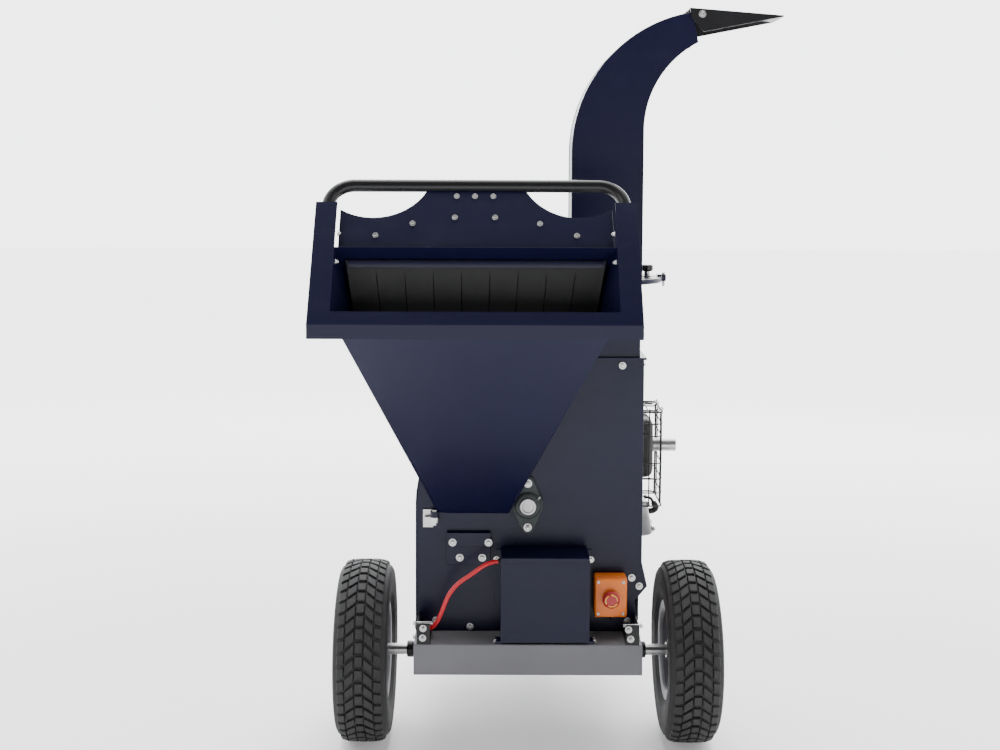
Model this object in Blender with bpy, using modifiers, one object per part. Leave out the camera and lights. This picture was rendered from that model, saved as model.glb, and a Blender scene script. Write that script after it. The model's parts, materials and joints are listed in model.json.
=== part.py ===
"""Towable wood chipper: disc rotor, folded hopper, swivelling chute and a petrol engine.

Machine datum: X = 0 midway between the wheels, Y = 0 on the axle, Z = 0 on the ground.
The feeding side faces -Y.  Everything is in metres.
"""

import math

import bmesh
import bpy
from mathutils import Matrix, Vector

# ---- clearances --------------------------------------------------------------------------
GAP = 0.0003            # between pieces that touch
RUNNING = 0.0010        # between pieces that turn past each other
SHEET = 0.003           # folded sheet steel

# ---- wheels and axle ---------------------------------------------------------------------
WHEEL_RADIUS = 0.203
TYRE_WIDTH = 0.119
TREAD_WIDTH = 0.098
RIM_RADIUS = 0.1016
WHEEL_X = 0.366
AXLE_RADIUS = 0.0125
AXLE_END = 0.417
AXLE_SLEEVE_RADIUS = 0.016
AXLE_SLEEVE_END = 0.273

# ---- deck and tow bar --------------------------------------------------------------------
DECK_HALF = 0.250
DECK_TOP = 0.266
DECK_DROP = 0.068
DECK_FRONT = -0.150
DECK_REAR = 0.520
DECK_SHEET = 0.004
TOW_BAR_SIZE = 0.050
TOW_BAR_WALL = 0.004
TOW_BAR_START = 0.060
TOW_EYE_Y = 0.930
TOW_EYE_RADIUS = 0.030
TOW_EYE_HOLE = 0.014
TOW_EYE_PLATE = 0.014
STAND_X = 0.062
STAND_Y = 0.600
STAND_RADIUS = 0.017
STAND_TOP = 0.480
STAND_FOOT_RADIUS = 0.048
STAND_FOOT = 0.006
STAND_TRAVEL = 0.180

# ---- rotor housing -----------------------------------------------------------------------
ROTOR_Z = 0.556
HOUSING_RADIUS = 0.250
HOUSING_DEPTH = 0.110
HOUSING_PLATE = 0.005
HOUSING_WALL = 0.004
HOUSING_FLOOR = 0.290
TOWER_LEFT = 0.093
TOWER_TOP = 0.881
PLATE_LIP = 0.006
EAR_REACH = 0.0186
EAR_Z = 0.3696
INLET_LEFT = -0.196
INLET_RIGHT = -0.046
INLET_BOTTOM = 0.540
INLET_TOP = 0.672

# ---- rotor -------------------------------------------------------------------------------
SHAFT_RADIUS = 0.0125
DISC_RADIUS = 0.200
DISC_FRONT = -0.030
DISC_THICKNESS = 0.012
PADDLE_REACH = 0.232
PADDLE_DEPTH = 0.055
KNIFE_STAND_OFF = 0.0035
BEARING_BOLTS = 0.099
BEARING_WIDTH = 0.068
BEARING_DEPTH = 0.030

# ---- belt drive --------------------------------------------------------------------------
CRANK_X = 0.040
CRANK_Z = 0.399
CRANK_RADIUS = 0.0125
ROTOR_PULLEY_RADIUS = 0.0675
ENGINE_PULLEY_RADIUS = 0.045
PULLEY_FRONT = 0.100
PULLEY_WIDTH = 0.042
BELT_THICKNESS = 0.009
BELT_WIDTH = 0.032
GUARD_SHEET = 0.0025
GUARD_MARGIN = 0.022

# ---- hopper ------------------------------------------------------------------------------
MOUTH_X = -0.112
MOUTH_HALF = 0.270
FLANGE_SIDE = 0.042
LIP_Y = -0.551
LIP_Z = 1.012
LIP_DROP = 0.027
MOUTH_TILT = math.radians(35.3)
FLANGE_BOTTOM = 0.028
MOUTH_OPENING = 0.141
FLANGE_LENGTH = 0.273
BASE_FLANGE = 0.009
HANDLE_RADIUS = 0.0125
HANDLE_STAND_OFF = 0.009
HANDLE_CORNER = 0.050
HANDLE_RISE = 0.326
HANDLE_LEG_LOW = 0.120
SCALLOP_X = 0.202
SCALLOP_RISE = 0.367
SCALLOP_RADIUS = 0.117
HINGE_X = -0.207
HINGE_Y = -0.0765
HINGE_PIN_RADIUS = 0.005
KNUCKLE_RADIUS = 0.0095
KNUCKLE_HEIGHT = 0.012

# ---- chute -------------------------------------------------------------------------------
CHUTE_X = 0.1705
CHUTE_HALF = 0.0775
CHUTE_DEPTH = 0.116
CHUTE_SHEET = 0.0025
NECK_TOP = 1.056
RING_RADIUS = 0.128
RING_THICKNESS = 0.005
BEND_START = 1.337
BEND_RADIUS_OUTER = 0.306
BEND_RADIUS_INNER = 0.214
BEND_INNER_RISE = 0.049
OUTLET_ANGLE_OUTER = 99.0
OUTLET_ANGLE_INNER = 117.0
DEFLECTOR_LENGTH = 0.203
DEFLECTOR_SHEET = 0.003
KNOB_REACH = 0.0955
KNOB_RADIUS = 0.0135

# ---- electrics ---------------------------------------------------------------------------
BATTERY_SIZE = (0.181, 0.077, 0.167)
BATTERY_BOX_X = 0.037
BATTERY_BOX_SHEET = 0.0025
BATTERY_CLEARANCE = 0.003
BATTERY_BOX_TOP = 0.458
ESTOP_X = 0.183
ESTOP_Z = 0.358
ESTOP_SIZE = (0.072, 0.050, 0.088)
ESTOP_CAP_RADIUS = 0.019
ESTOP_TRAVEL = 0.004
CABLE_RADIUS = 0.00475
CABLE_HOLE_RADIUS = 0.009
CABLE_HOLE_X = -0.228

# ---- engine ------------------------------------------------------------------------------
ENGINE_FRONT = 0.190
ENGINE_LENGTH = 0.145
CYLINDER_SLOPE = math.radians(12.0)
FAN_RADIUS = 0.130
FAN_DEPTH = 0.088
RECOIL_RADIUS = 0.092
STARTER_RADIUS = 0.033
STARTER_X = -0.118
STARTER_Z = 0.352
MUFFLER_LOW = (0.140, 0.196, 0.556)
MUFFLER_HIGH = (0.310, 0.330, 0.700)
OUTLET_RADIUS = 0.0165
OUTLET_END = 0.369
OUTLET_Z = 0.630
CASE_TOP = 0.486
SWITCH_LEFT = -0.120
KEY_Z = 0.560
THROTTLE_Z = 0.462
TANK_LOW = (-0.128, 0.196, 0.598)
TANK_HIGH = (0.122, 0.400, 0.716)

# ---- sizes that follow from the ones above -----------------------------------------------
AXLE_Z = WHEEL_RADIUS
PLATE_BACK = HOUSING_DEPTH / 2                    # inner face of either housing plate
PLATE_FACE = PLATE_BACK + HOUSING_PLATE           # outer face of either housing plate
DECK_SKIRT = DECK_TOP - DECK_DROP
TOWER_RIGHT = HOUSING_RADIUS
MOUTH_UP = Vector((0.0, math.sin(MOUTH_TILT), math.cos(MOUTH_TILT)))
MOUTH_BACK = Vector((0.0, math.cos(MOUTH_TILT), -math.sin(MOUTH_TILT)))
HANDLE_SETBACK = HANDLE_STAND_OFF + HANDLE_RADIUS
CHUTE_BASE = NECK_TOP + GAP
CHUTE_Y = CHUTE_DEPTH / 2
PULLEY_REAR = PULLEY_FRONT + PULLEY_WIDTH
BELT_MIDDLE = PULLEY_FRONT + PULLEY_WIDTH / 2
ENGINE_REAR = ENGINE_FRONT + ENGINE_LENGTH
CRANK = Vector((CRANK_X, 0.0, CRANK_Z))
LEFT_END = -(WHEEL_X + TYRE_WIDTH / 2)
OUTLET_TOP = Vector((
    CHUTE_X - CHUTE_HALF + BEND_RADIUS_OUTER * (1 + math.cos(math.radians(OUTLET_ANGLE_OUTER))),
    0.0,
    BEND_START + BEND_RADIUS_OUTER * math.sin(math.radians(OUTLET_ANGLE_OUTER)),
))
DEFLECTOR_PIVOT = OUTLET_TOP + Vector((0.0210, 0.0, -0.0035))
DEFLECTOR_BACK = OUTLET_TOP + Vector((-0.0060, 0.0, 0.0100))
DEFLECTOR_TIP_X = DEFLECTOR_BACK.x + DEFLECTOR_LENGTH
TOW_END = TOW_EYE_Y + TOW_EYE_RADIUS
FRAME_ORIGIN = Vector(((LEFT_END + DEFLECTOR_TIP_X) / 2, (LIP_Y + TOW_END) / 2, 0.0))

ROUND = 32              # sides of a large round piece
SMALL = 16              # sides of a small round piece


# ---- scene, materials and shapes ---------------------------------------------------------
def clear_scene():
    for item in list(bpy.data.objects):
        bpy.data.objects.remove(item, do_unlink=True)


def make_material(name, colour, roughness, metallic=0.0):
    material = bpy.data.materials.new(name)
    material.use_nodes = True
    shader = material.node_tree.nodes["Principled BSDF"]
    shader.inputs["Base Color"].default_value = (*colour, 1.0)
    shader.inputs["Roughness"].default_value = roughness
    shader.inputs["Metallic"].default_value = metallic
    return material


clear_scene()
PARTS = bpy.data.collections.new("wood_chipper")
bpy.context.scene.collection.children.link(PARTS)

NAVY = make_material("navy_paint", (0.012, 0.013, 0.040), 0.28)
GREY = make_material("grey_paint", (0.18, 0.18, 0.19), 0.45)
BLACK = make_material("black_paint", (0.012, 0.012, 0.013), 0.35)
RUBBER = make_material("rubber", (0.020, 0.020, 0.021), 0.85)
ZINC = make_material("zinc_steel", (0.60, 0.60, 0.62), 0.35, 1.0)
STEEL = make_material("ground_steel", (0.45, 0.45, 0.46), 0.30, 1.0)
IRON = make_material("cast_iron", (0.06, 0.07, 0.07), 0.60, 0.6)
ALUMINIUM = make_material("cast_aluminium", (0.55, 0.55, 0.56), 0.45, 1.0)
RED = make_material("red_plastic", (0.45, 0.01, 0.02), 0.30)
ORANGE = make_material("orange_plastic", (0.85, 0.16, 0.01), 0.35)
PLASTIC = make_material("black_plastic", (0.015, 0.015, 0.016), 0.50)


def link(mesh, name="shape"):
    piece = bpy.data.objects.new(name, mesh)
    PARTS.objects.link(piece)
    return piece


def from_bmesh(shape):
    mesh = bpy.data.meshes.new("shape")
    bmesh.ops.recalc_face_normals(shape, faces=shape.faces)
    shape.to_mesh(mesh)
    shape.free()
    return link(mesh)


def block(low, high):
    """A box between two opposite corners."""
    low, high = Vector(low), Vector(high)
    shape = bmesh.new()
    bmesh.ops.create_cube(shape, size=1.0)
    bmesh.ops.scale(shape, vec=high - low, verts=shape.verts)
    bmesh.ops.translate(shape, vec=(low + high) / 2, verts=shape.verts)
    return from_bmesh(shape)


def rod(start, end, radius, sides=ROUND, end_radius=None):
    """A cylinder or cone between two points."""
    start, end = Vector(start), Vector(end)
    along = end - start
    turn = Vector((0, 0, 1)).rotation_difference(along).to_matrix().to_4x4()
    shape = bmesh.new()
    bmesh.ops.create_cone(
        shape, cap_ends=True, segments=sides, radius1=radius,
        radius2=radius if end_radius is None else end_radius, depth=along.length)
    bmesh.ops.transform(shape, matrix=Matrix.Translation((start + end) / 2) @ turn, verts=shape.verts)
    return from_bmesh(shape)


def bake(piece):
    """Turn a piece and its modifiers into one welded mesh with its faces pointing out."""
    graph = bpy.context.evaluated_depsgraph_get()
    mesh = bpy.data.meshes.new_from_object(piece.evaluated_get(graph))
    placed = piece.matrix_world.copy()
    bpy.data.objects.remove(piece, do_unlink=True)
    shape = bmesh.new()
    shape.from_mesh(mesh)
    bmesh.ops.transform(shape, matrix=placed, verts=shape.verts)
    bmesh.ops.remove_doubles(shape, verts=shape.verts, dist=0.00001)
    return from_bmesh(shape)


OUTLINE_TURN = {
    "Z": Matrix.Identity(4),
    "Y": Matrix.Rotation(math.pi / 2, 4, "X"),
    "X": Matrix(((0, 0, 1, 0), (1, 0, 0, 0), (0, 1, 0, 0), (0, 0, 0, 1))),
}


def slab(outline, low, high, along="Y", holes=()):
    """A flat outline, with holes, as thick as low to high along one axis.

    The outline is in X and Z along Y, in Y and Z along X, and in X and Y along Z.
    """
    curve = bpy.data.curves.new("outline", "CURVE")
    curve.dimensions = "2D"
    curve.fill_mode = "BOTH"
    curve.extrude = (high - low) / 2
    for points in (outline, *holes):
        spline = curve.splines.new("POLY")
        spline.points.add(len(points) - 1)
        for point, place in zip(spline.points, points):
            point.co = (place[0], place[1], 0.0, 1.0)
        spline.use_cyclic_u = True
    piece = bpy.data.objects.new("outline", curve)
    PARTS.objects.link(piece)
    middle = Vector([(low + high) / 2 if axis == along else 0.0 for axis in "XYZ"])
    piece.matrix_world = Matrix.Translation(middle) @ OUTLINE_TURN[along]
    bpy.context.view_layer.update()
    return bake(piece)


def turned(profile, centre, axis, steps=ROUND, closed=False):
    """A turned piece: the profile is (radius, distance along the axis), top to bottom."""
    mesh = bpy.data.meshes.new("profile")
    points = [(radius, 0.0, height) for radius, height in profile]
    edges = [(index, index + 1) for index in range(len(points) - 1)]
    if closed:
        edges.append((len(points) - 1, 0))
    mesh.from_pydata(points, edges, [])
    piece = link(mesh)
    screw = piece.modifiers.new("turn", "SCREW")
    screw.axis = "Z"
    screw.steps = steps
    screw.render_steps = steps
    screw.use_merge_vertices = True
    screw.merge_threshold = 0.00001
    turn = Vector((0, 0, 1)).rotation_difference(Vector(axis)).to_matrix().to_4x4()
    piece.matrix_world = Matrix.Translation(Vector(centre)) @ turn
    bpy.context.view_layer.update()
    return bake(piece)


def tube(points, radius, resolution=2):
    """A round bar or wire along a list of points."""
    curve = bpy.data.curves.new("route", "CURVE")
    curve.dimensions = "3D"
    curve.bevel_depth = radius
    curve.bevel_resolution = resolution
    curve.use_fill_caps = True
    spline = curve.splines.new("POLY")
    spline.points.add(len(points) - 1)
    for point, place in zip(spline.points, points):
        point.co = (*place, 1.0)
    piece = bpy.data.objects.new("route", curve)
    PARTS.objects.link(piece)
    bpy.context.view_layer.update()
    return bake(piece)


def combine(target, operation, tools):
    for tool in tools:
        cut = target.modifiers.new(operation.lower(), "BOOLEAN")
        cut.operation = operation
        cut.solver = "EXACT"
        cut.object = tool
    bpy.context.view_layer.update()
    result = bake(target)
    for tool in tools:
        bpy.data.objects.remove(tool, do_unlink=True)
    return result


def join(target, *tools):
    return combine(target, "UNION", tools)


def cut(target, *tools):
    return combine(target, "DIFFERENCE", tools)


def soften(piece, width, segments=2):
    """Round the sharp edges of a piece."""
    bevel = piece.modifiers.new("round", "BEVEL")
    bevel.width = width
    bevel.segments = segments
    bevel.limit_method = "ANGLE"
    bevel.angle_limit = math.radians(40)
    bpy.context.view_layer.update()
    return bake(piece)


def arc(centre, radius, start, end, steps):
    """Points on an arc, in degrees, both ends included."""
    angles = [math.radians(start + (end - start) * step / steps) for step in range(steps + 1)]
    return [(centre[0] + radius * math.cos(a), centre[1] + radius * math.sin(a)) for a in angles]


def circle(centre, radius, steps=ROUND):
    return arc(centre, radius, 0, 360 - 360 / steps, steps - 1)


def smooth_route(points, spacing):
    """Points read at an even spacing from a smooth curve through the given ones."""
    points = [Vector(point) for point in points]
    route = [points[0]]
    ends = [2 * points[0] - points[1], *points, 2 * points[-1] - points[-2]]
    for before, start, end, after in zip(ends, ends[1:], ends[2:], ends[3:]):
        count = max(2, round((end - start).length / spacing))
        for step in range(1, count + 1):
            t = step / count
            route.append(0.5 * (2 * start + (end - before) * t
                                + (2 * before - 5 * start + 4 * end - after) * t * t
                                + (3 * start - before - 3 * end + after) * t ** 3))
    return route


# ---- bodies: one empty on each joint's axis ----------------------------------------------
BODY_PLACES = {
    "chassis": Vector((0, 0, 0)),
    "wheel_left": Vector((-WHEEL_X, 0, AXLE_Z)),
    "wheel_right": Vector((WHEEL_X, 0, AXLE_Z)),
    "rotor": Vector((0, 0, ROTOR_Z)),
    "crank": CRANK,
    "hopper": Vector((HINGE_X, HINGE_Y, INLET_BOTTOM)),
    "chute": Vector((CHUTE_X, 0, CHUTE_BASE)),
    "deflector": DEFLECTOR_PIVOT,
    "swivel_knob": Vector((CHUTE_X + KNOB_REACH, 0, CHUTE_BASE)),
    "stand": Vector((STAND_X, STAND_Y, DECK_TOP)),
    "estop": Vector((ESTOP_X, -PLATE_FACE - ESTOP_SIZE[1], ESTOP_Z)),
    "key": Vector((SWITCH_LEFT, 0.326, KEY_Z)),
    "throttle": Vector((0.030, ENGINE_FRONT, THROTTLE_Z)),
    "recoil": Vector((CRANK_X - RECOIL_RADIUS, ENGINE_REAR + FAN_DEPTH, CRANK_Z + 0.060)),
    "fuel_cap": Vector((-0.050, 0.300, TANK_HIGH[2])),
}


def make_bodies():
    origin = bpy.data.objects.new("machine", None)
    PARTS.objects.link(origin)
    origin.location = -FRAME_ORIGIN
    bodies = {}
    for name, place in BODY_PLACES.items():
        bodies[name] = bpy.data.objects.new(name + "_body", None)
        PARTS.objects.link(bodies[name])
        bodies[name].parent = origin
        bodies[name].location = place
    return bodies


BODIES = make_bodies()


def finish(piece, name, material, body="chassis"):
    """Name a piece, give it its material and set it on its body."""
    piece.name = name
    piece.data.name = name
    piece.data.materials.clear()
    piece.data.materials.append(material)
    piece.data.shade_smooth()
    piece.data.set_sharp_from_angle(angle=math.radians(35))
    piece.parent = BODIES[body]
    piece.location = -BODY_PLACES[body]


# ---- wheels and axle ---------------------------------------------------------------------
def make_wheel(side, name):
    half = TYRE_WIDTH / 2
    tread = TREAD_WIDTH / 2
    bead = 0.046
    bead_radius = RIM_RADIUS + GAP
    lip = RIM_RADIUS + 0.010
    profile = [
        (WHEEL_RADIUS - 0.006, tread), (WHEEL_RADIUS, tread * 0.5), (WHEEL_RADIUS, -tread * 0.5),
        (WHEEL_RADIUS - 0.006, -tread), (0.170, -half), (0.130, -half + 0.003), (lip + 0.003, -bead),
        (bead_radius, -bead),
        (bead_radius, -bead + 0.012), (0.130, -half + 0.014), (0.168, -half + 0.012),
        (0.188, -tread + 0.006), (0.188, tread - 0.006),
        (0.168, half - 0.012), (0.130, half - 0.014), (bead_radius, bead - 0.012),
        (bead_radius, bead), (lip + 0.003, bead), (0.130, half - 0.003), (0.170, half),
    ]
    centre = BODY_PLACES["wheel_" + name]
    axis = (side, 0, 0)
    tyre = turned(profile, centre, axis, 40, closed=True)
    finish(tyre, "tyre_" + name, RUBBER, "wheel_" + name)

    bore = AXLE_RADIUS + GAP
    hub = 0.026
    disc = 0.012
    rim_profile = [
        (hub, 0.040), (hub, disc + 0.002), (0.060, disc), (0.088, 0.022), (RIM_RADIUS - 0.010, 0.022),
        (RIM_RADIUS - 0.010, 0.044), (RIM_RADIUS - 0.003, bead + 0.0035), (lip, bead + 0.0035),
        (lip, bead + GAP * 2), (RIM_RADIUS, bead + GAP * 2), (RIM_RADIUS, 0.026),
        (RIM_RADIUS - 0.007, 0.018), (RIM_RADIUS - 0.007, -0.018), (RIM_RADIUS, -0.026),
        (RIM_RADIUS, -bead - GAP * 2), (lip, -bead - GAP * 2), (lip, -bead - 0.0035),
        (RIM_RADIUS - 0.003, -bead - 0.0035), (RIM_RADIUS - 0.010, -0.044), (RIM_RADIUS - 0.010, 0.014),
        (0.090, 0.016), (0.062, disc - 0.004), (hub, disc - 0.004), (hub, -0.040), (bore, -0.040),
        (bore, 0.040),
    ]
    rim = turned(rim_profile, centre, axis, 24, closed=True)
    finish(rim, "rim_" + name, GREY, "wheel_" + name)


def make_axle():
    axle = rod((-AXLE_END, 0, AXLE_Z), (AXLE_END, 0, AXLE_Z), AXLE_RADIUS, 24)
    hub_end = WHEEL_X + 0.040 + GAP * 2
    collars = []
    for side in (-1, 1):
        inner = side * (WHEEL_X - 0.040 - GAP * 2)
        collars.append(rod((side * hub_end, 0, AXLE_Z), (side * (hub_end + 0.004), 0, AXLE_Z), 0.022, SMALL))
        collars.append(rod((inner, 0, AXLE_Z), (inner - side * 0.005, 0, AXLE_Z), 0.018, SMALL))
    axle = join(axle, *collars)
    finish(axle, "axle", ZINC)

    sleeve = rod((-AXLE_SLEEVE_END, 0, AXLE_Z), (AXLE_SLEEVE_END, 0, AXLE_Z), AXLE_SLEEVE_RADIUS)
    hangers = []
    for side in (-1, 1):
        inner = side * (DECK_HALF - DECK_SHEET - GAP)
        edges = sorted((inner, inner - side * 0.006))
        hangers.append(block((edges[0], -0.045, AXLE_Z - 0.026),
                             (edges[1], 0.045, DECK_TOP - DECK_SHEET - GAP)))
    bore = rod((-0.3, 0, AXLE_Z), (0.3, 0, AXLE_Z), AXLE_RADIUS + GAP)
    sleeve = cut(join(sleeve, *hangers), bore)
    finish(sleeve, "axle_sleeve", BLACK)


# ---- deck, tow bar and stand -------------------------------------------------------------
def make_deck():
    deck = block((-DECK_HALF, DECK_FRONT, DECK_SKIRT), (DECK_HALF, DECK_REAR, DECK_TOP))
    inside = block((-DECK_HALF + DECK_SHEET, DECK_FRONT + DECK_SHEET, DECK_SKIRT - 0.01),
                   (DECK_HALF - DECK_SHEET, DECK_REAR - DECK_SHEET, DECK_TOP - DECK_SHEET))
    half_bar = TOW_BAR_SIZE / 2 + 0.002
    bar_way = block((-half_bar, DECK_REAR - 0.02, DECK_SKIRT - 0.01),
                    (half_bar, DECK_REAR + 0.01, DECK_TOP - DECK_SHEET))
    half_sleeve = AXLE_SLEEVE_RADIUS + 0.002
    sleeve_ways = []
    for side in (-1, 1):
        edges = sorted((side * (DECK_HALF + 0.01), side * (DECK_HALF - 0.02)))
        sleeve_ways.append(block((edges[0], -half_sleeve, DECK_SKIRT - 0.01),
                                 (edges[1], half_sleeve, AXLE_Z + half_sleeve)))
    deck = cut(deck, inside, bar_way, *sleeve_ways)
    finish(deck, "deck", GREY)


def make_tow_bar():
    half = TOW_BAR_SIZE / 2
    top = DECK_TOP - DECK_SHEET - GAP
    bottom = top - TOW_BAR_SIZE
    end = TOW_EYE_Y - TOW_EYE_RADIUS - 0.020
    bar = block((-half, TOW_BAR_START, bottom), (half, end, top))
    inner = half - TOW_BAR_WALL
    middle = (top + bottom) / 2
    bar = cut(bar, block((-inner, TOW_BAR_START - 0.01, middle - inner), (inner, end + 0.01, middle + inner)))
    eye = arc((0, TOW_EYE_Y), TOW_EYE_RADIUS, 0, 180, 16)
    outline = [(-half - 0.001, end - 0.050), (half + 0.001, end - 0.050), *eye]
    plate = slab(outline, bottom - TOW_EYE_PLATE, bottom + 0.001, "Z",
                 holes=[circle((0, TOW_EYE_Y), TOW_EYE_HOLE, 24)])
    bar = join(bar, plate)
    finish(bar, "tow_bar", BLACK)

    clamp_radius = STAND_RADIUS + 0.009
    clamp = rod((STAND_X, STAND_Y, bottom + 0.002), (STAND_X, STAND_Y, top - 0.002), clamp_radius)
    web = block((half + GAP, STAND_Y - 0.014, bottom + 0.006), (STAND_X, STAND_Y + 0.014, top - 0.006))
    bore = rod((STAND_X, STAND_Y, bottom - 0.01), (STAND_X, STAND_Y, top + 0.01), STAND_RADIUS + GAP * 2)
    handle = tube([(STAND_X + STAND_RADIUS + 0.004, STAND_Y, middle),
                   (STAND_X + STAND_RADIUS + 0.050, STAND_Y, middle)], 0.005)
    grip = tube([(STAND_X + STAND_RADIUS + 0.050, STAND_Y - 0.035, middle),
                 (STAND_X + STAND_RADIUS + 0.050, STAND_Y + 0.035, middle)], 0.0055)
    clamp = join(cut(join(clamp, web), bore), handle, grip)
    finish(clamp, "stand_clamp", BLACK)

    foot = rod((STAND_X, STAND_Y, 0), (STAND_X, STAND_Y, STAND_FOOT), STAND_FOOT_RADIUS)
    leg = rod((STAND_X, STAND_Y, STAND_FOOT / 2), (STAND_X, STAND_Y, STAND_TOP), STAND_RADIUS)
    finish(join(leg, foot), "prop_stand", ZINC, "stand")


# ---- rotor housing -----------------------------------------------------------------------
def housing_outline(inset, bottom, top):
    """Scroll of the rotor housing with its discharge tower, seen from the feeding side."""
    radius = HOUSING_RADIUS - inset
    left = TOWER_LEFT + inset
    meet = math.degrees(math.acos(left / radius))
    scroll = arc((0, ROTOR_Z), radius, 180, meet, 18)
    right = TOWER_RIGHT - inset
    return [(-radius, bottom), *scroll, (left, top), (right, top), (right, bottom)]


def make_housing():
    low = DECK_TOP + GAP
    shaft_hole = circle((0, ROTOR_Z), 0.030, 24)
    cable_hole = circle((CABLE_HOLE_X, DECK_TOP + 0.0135), CABLE_HOLE_RADIUS, SMALL)
    inlet = [(INLET_LEFT, INLET_BOTTOM), (INLET_RIGHT, INLET_BOTTOM),
             (INLET_RIGHT, INLET_TOP), (INLET_LEFT, INLET_TOP)]
    outline = housing_outline(0, low, TOWER_TOP)[:-2]
    edge = TOWER_RIGHT + PLATE_LIP
    outline += [(edge, TOWER_TOP), (edge, EAR_Z + 0.055), (TOWER_RIGHT + EAR_REACH, EAR_Z),
                (TOWER_RIGHT - 0.008, EAR_Z - 0.032), (TOWER_RIGHT, low)]
    front = slab(outline, -PLATE_FACE, -PLATE_BACK, holes=[shaft_hole, cable_hole, inlet])
    finish(front, "housing_front_plate", NAVY)

    back = slab(housing_outline(0, low, TOWER_TOP), PLATE_BACK, PLATE_FACE, holes=[shaft_hole, cable_hole])
    finish(back, "housing_back_plate", NAVY)

    edge = PLATE_BACK - GAP
    rim = slab(housing_outline(0, HOUSING_FLOOR, TOWER_TOP), -edge, edge)
    hollow = slab(housing_outline(HOUSING_WALL, HOUSING_FLOOR + HOUSING_WALL, TOWER_TOP + 0.01),
                  -edge - 0.01, edge + 0.01)
    finish(cut(rim, hollow), "housing_rim", NAVY)

    knife = block((INLET_LEFT - 0.008, -PLATE_BACK + GAP, INLET_BOTTOM - 0.014),
                  (INLET_RIGHT + 0.006, DISC_FRONT - KNIFE_STAND_OFF - 0.0015, INLET_BOTTOM - GAP))
    finish(knife, "bed_knife", STEEL)

    plate = block((-0.180, -PLATE_FACE - 0.008, 0.420), (-0.082, -PLATE_FACE - GAP, 0.494))
    step = block((-0.180, -PLATE_FACE - 0.014, 0.462), (-0.082, -PLATE_FACE - 0.007, 0.494))
    finish(join(plate, step), "bed_knife_holder", NAVY)

    for side, name in ((-1, "left"), (1, "right")):
        outer = side * 0.243
        inner = side * 0.214
        edges = sorted((outer, inner))
        web_edges = sorted((outer, outer - side * 0.004))
        foot = block((edges[0], DECK_FRONT + 0.001, DECK_TOP + GAP),
                     (edges[1], -PLATE_FACE - GAP, DECK_TOP + 0.004))
        web = block((web_edges[0], DECK_FRONT + 0.001, DECK_TOP + GAP),
                    (web_edges[1], -PLATE_FACE - GAP, DECK_TOP + 0.042))
        tab = block((edges[0], DECK_FRONT + 0.001, DECK_TOP + GAP),
                    (edges[1], DECK_FRONT + 0.005, DECK_TOP + 0.044))
        finish(join(foot, web, tab), "foot_bracket_" + name, BLACK)


def make_bearing(side, name):
    """Two-bolt flange bearing on one housing plate."""
    base = side * (PLATE_FACE + GAP)
    flange_end = base + side * 0.013
    half = BEARING_BOLTS / 2
    ear = 0.015
    upper = arc((0, ROTOR_Z + half), ear, 20, 160, 6)
    lower = arc((0, ROTOR_Z - half), ear, 200, 340, 6)
    left = arc((0, ROTOR_Z), BEARING_WIDTH / 2, 150, 210, 5)
    right = arc((0, ROTOR_Z), BEARING_WIDTH / 2, -30, 30, 5)
    outline = [*upper, *left, *lower, *right]
    flange = slab(outline, min(base, flange_end), max(base, flange_end))
    boss = rod((0, base, ROTOR_Z), (0, base + side * BEARING_DEPTH, ROTOR_Z), 0.031, ROUND, 0.027)
    bore = rod((0, -0.2, ROTOR_Z), (0, 0.2, ROTOR_Z), SHAFT_RADIUS + GAP)
    finish(cut(join(flange, boss), bore), name, IRON)


# ---- rotor and belt drive ----------------------------------------------------------------
def make_rotor():
    shaft = rod((0, -PLATE_FACE - BEARING_DEPTH + 0.002, ROTOR_Z), (0, PULLEY_REAR + 0.004, ROTOR_Z),
                SHAFT_RADIUS)
    finish(shaft, "rotor_shaft", STEEL, "rotor")

    back = DISC_FRONT + DISC_THICKNESS
    disc = rod((0, DISC_FRONT, ROTOR_Z), (0, back, ROTOR_Z), DISC_RADIUS, 48)
    hub = rod((0, back - 0.001, ROTOR_Z), (0, back + 0.050, ROTOR_Z), 0.038)
    pieces = [hub]
    for index in range(4):
        paddle = block((0.060, back - 0.001, -0.003), (PADDLE_REACH, back + PADDLE_DEPTH, 0.003))
        paddle.matrix_world = Matrix.Translation((0, 0, ROTOR_Z)) @ Matrix.Rotation(
            math.radians(90 * index), 4, "Y")
        pieces.append(paddle)
    bore = rod((0, -0.1, ROTOR_Z), (0, 0.1, ROTOR_Z), SHAFT_RADIUS + GAP)
    finish(cut(join(disc, *pieces), bore), "rotor_disc", STEEL, "rotor")

    for index in range(2):
        knife = block((0.050, DISC_FRONT - KNIFE_STAND_OFF, -0.022), (0.188, DISC_FRONT - GAP, 0.022))
        knife.matrix_world = Matrix.Translation((0, 0, ROTOR_Z)) @ Matrix.Rotation(
            math.radians(45 + 180 * index), 4, "Y")
        bpy.context.view_layer.update()
        finish(bake(knife), "knife_" + str(index + 1), ZINC, "rotor")


def make_pulley(centre, radius, bore, name, body):
    """Two-groove belt pulley on its shaft."""
    half = PULLEY_WIDTH / 2
    outer = radius + BELT_THICKNESS * 0.6
    profile = [(outer, half), (outer, half - 0.004), (radius, half - 0.0045), (radius, -half + 0.0045),
               (outer, -half + 0.004), (outer, -half), (bore + GAP, -half), (bore + GAP, half)]
    pulley = turned(profile, (centre[0], BELT_MIDDLE, centre[1]), (0, 1, 0), ROUND, closed=True)
    finish(pulley, name, IRON, body)


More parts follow.
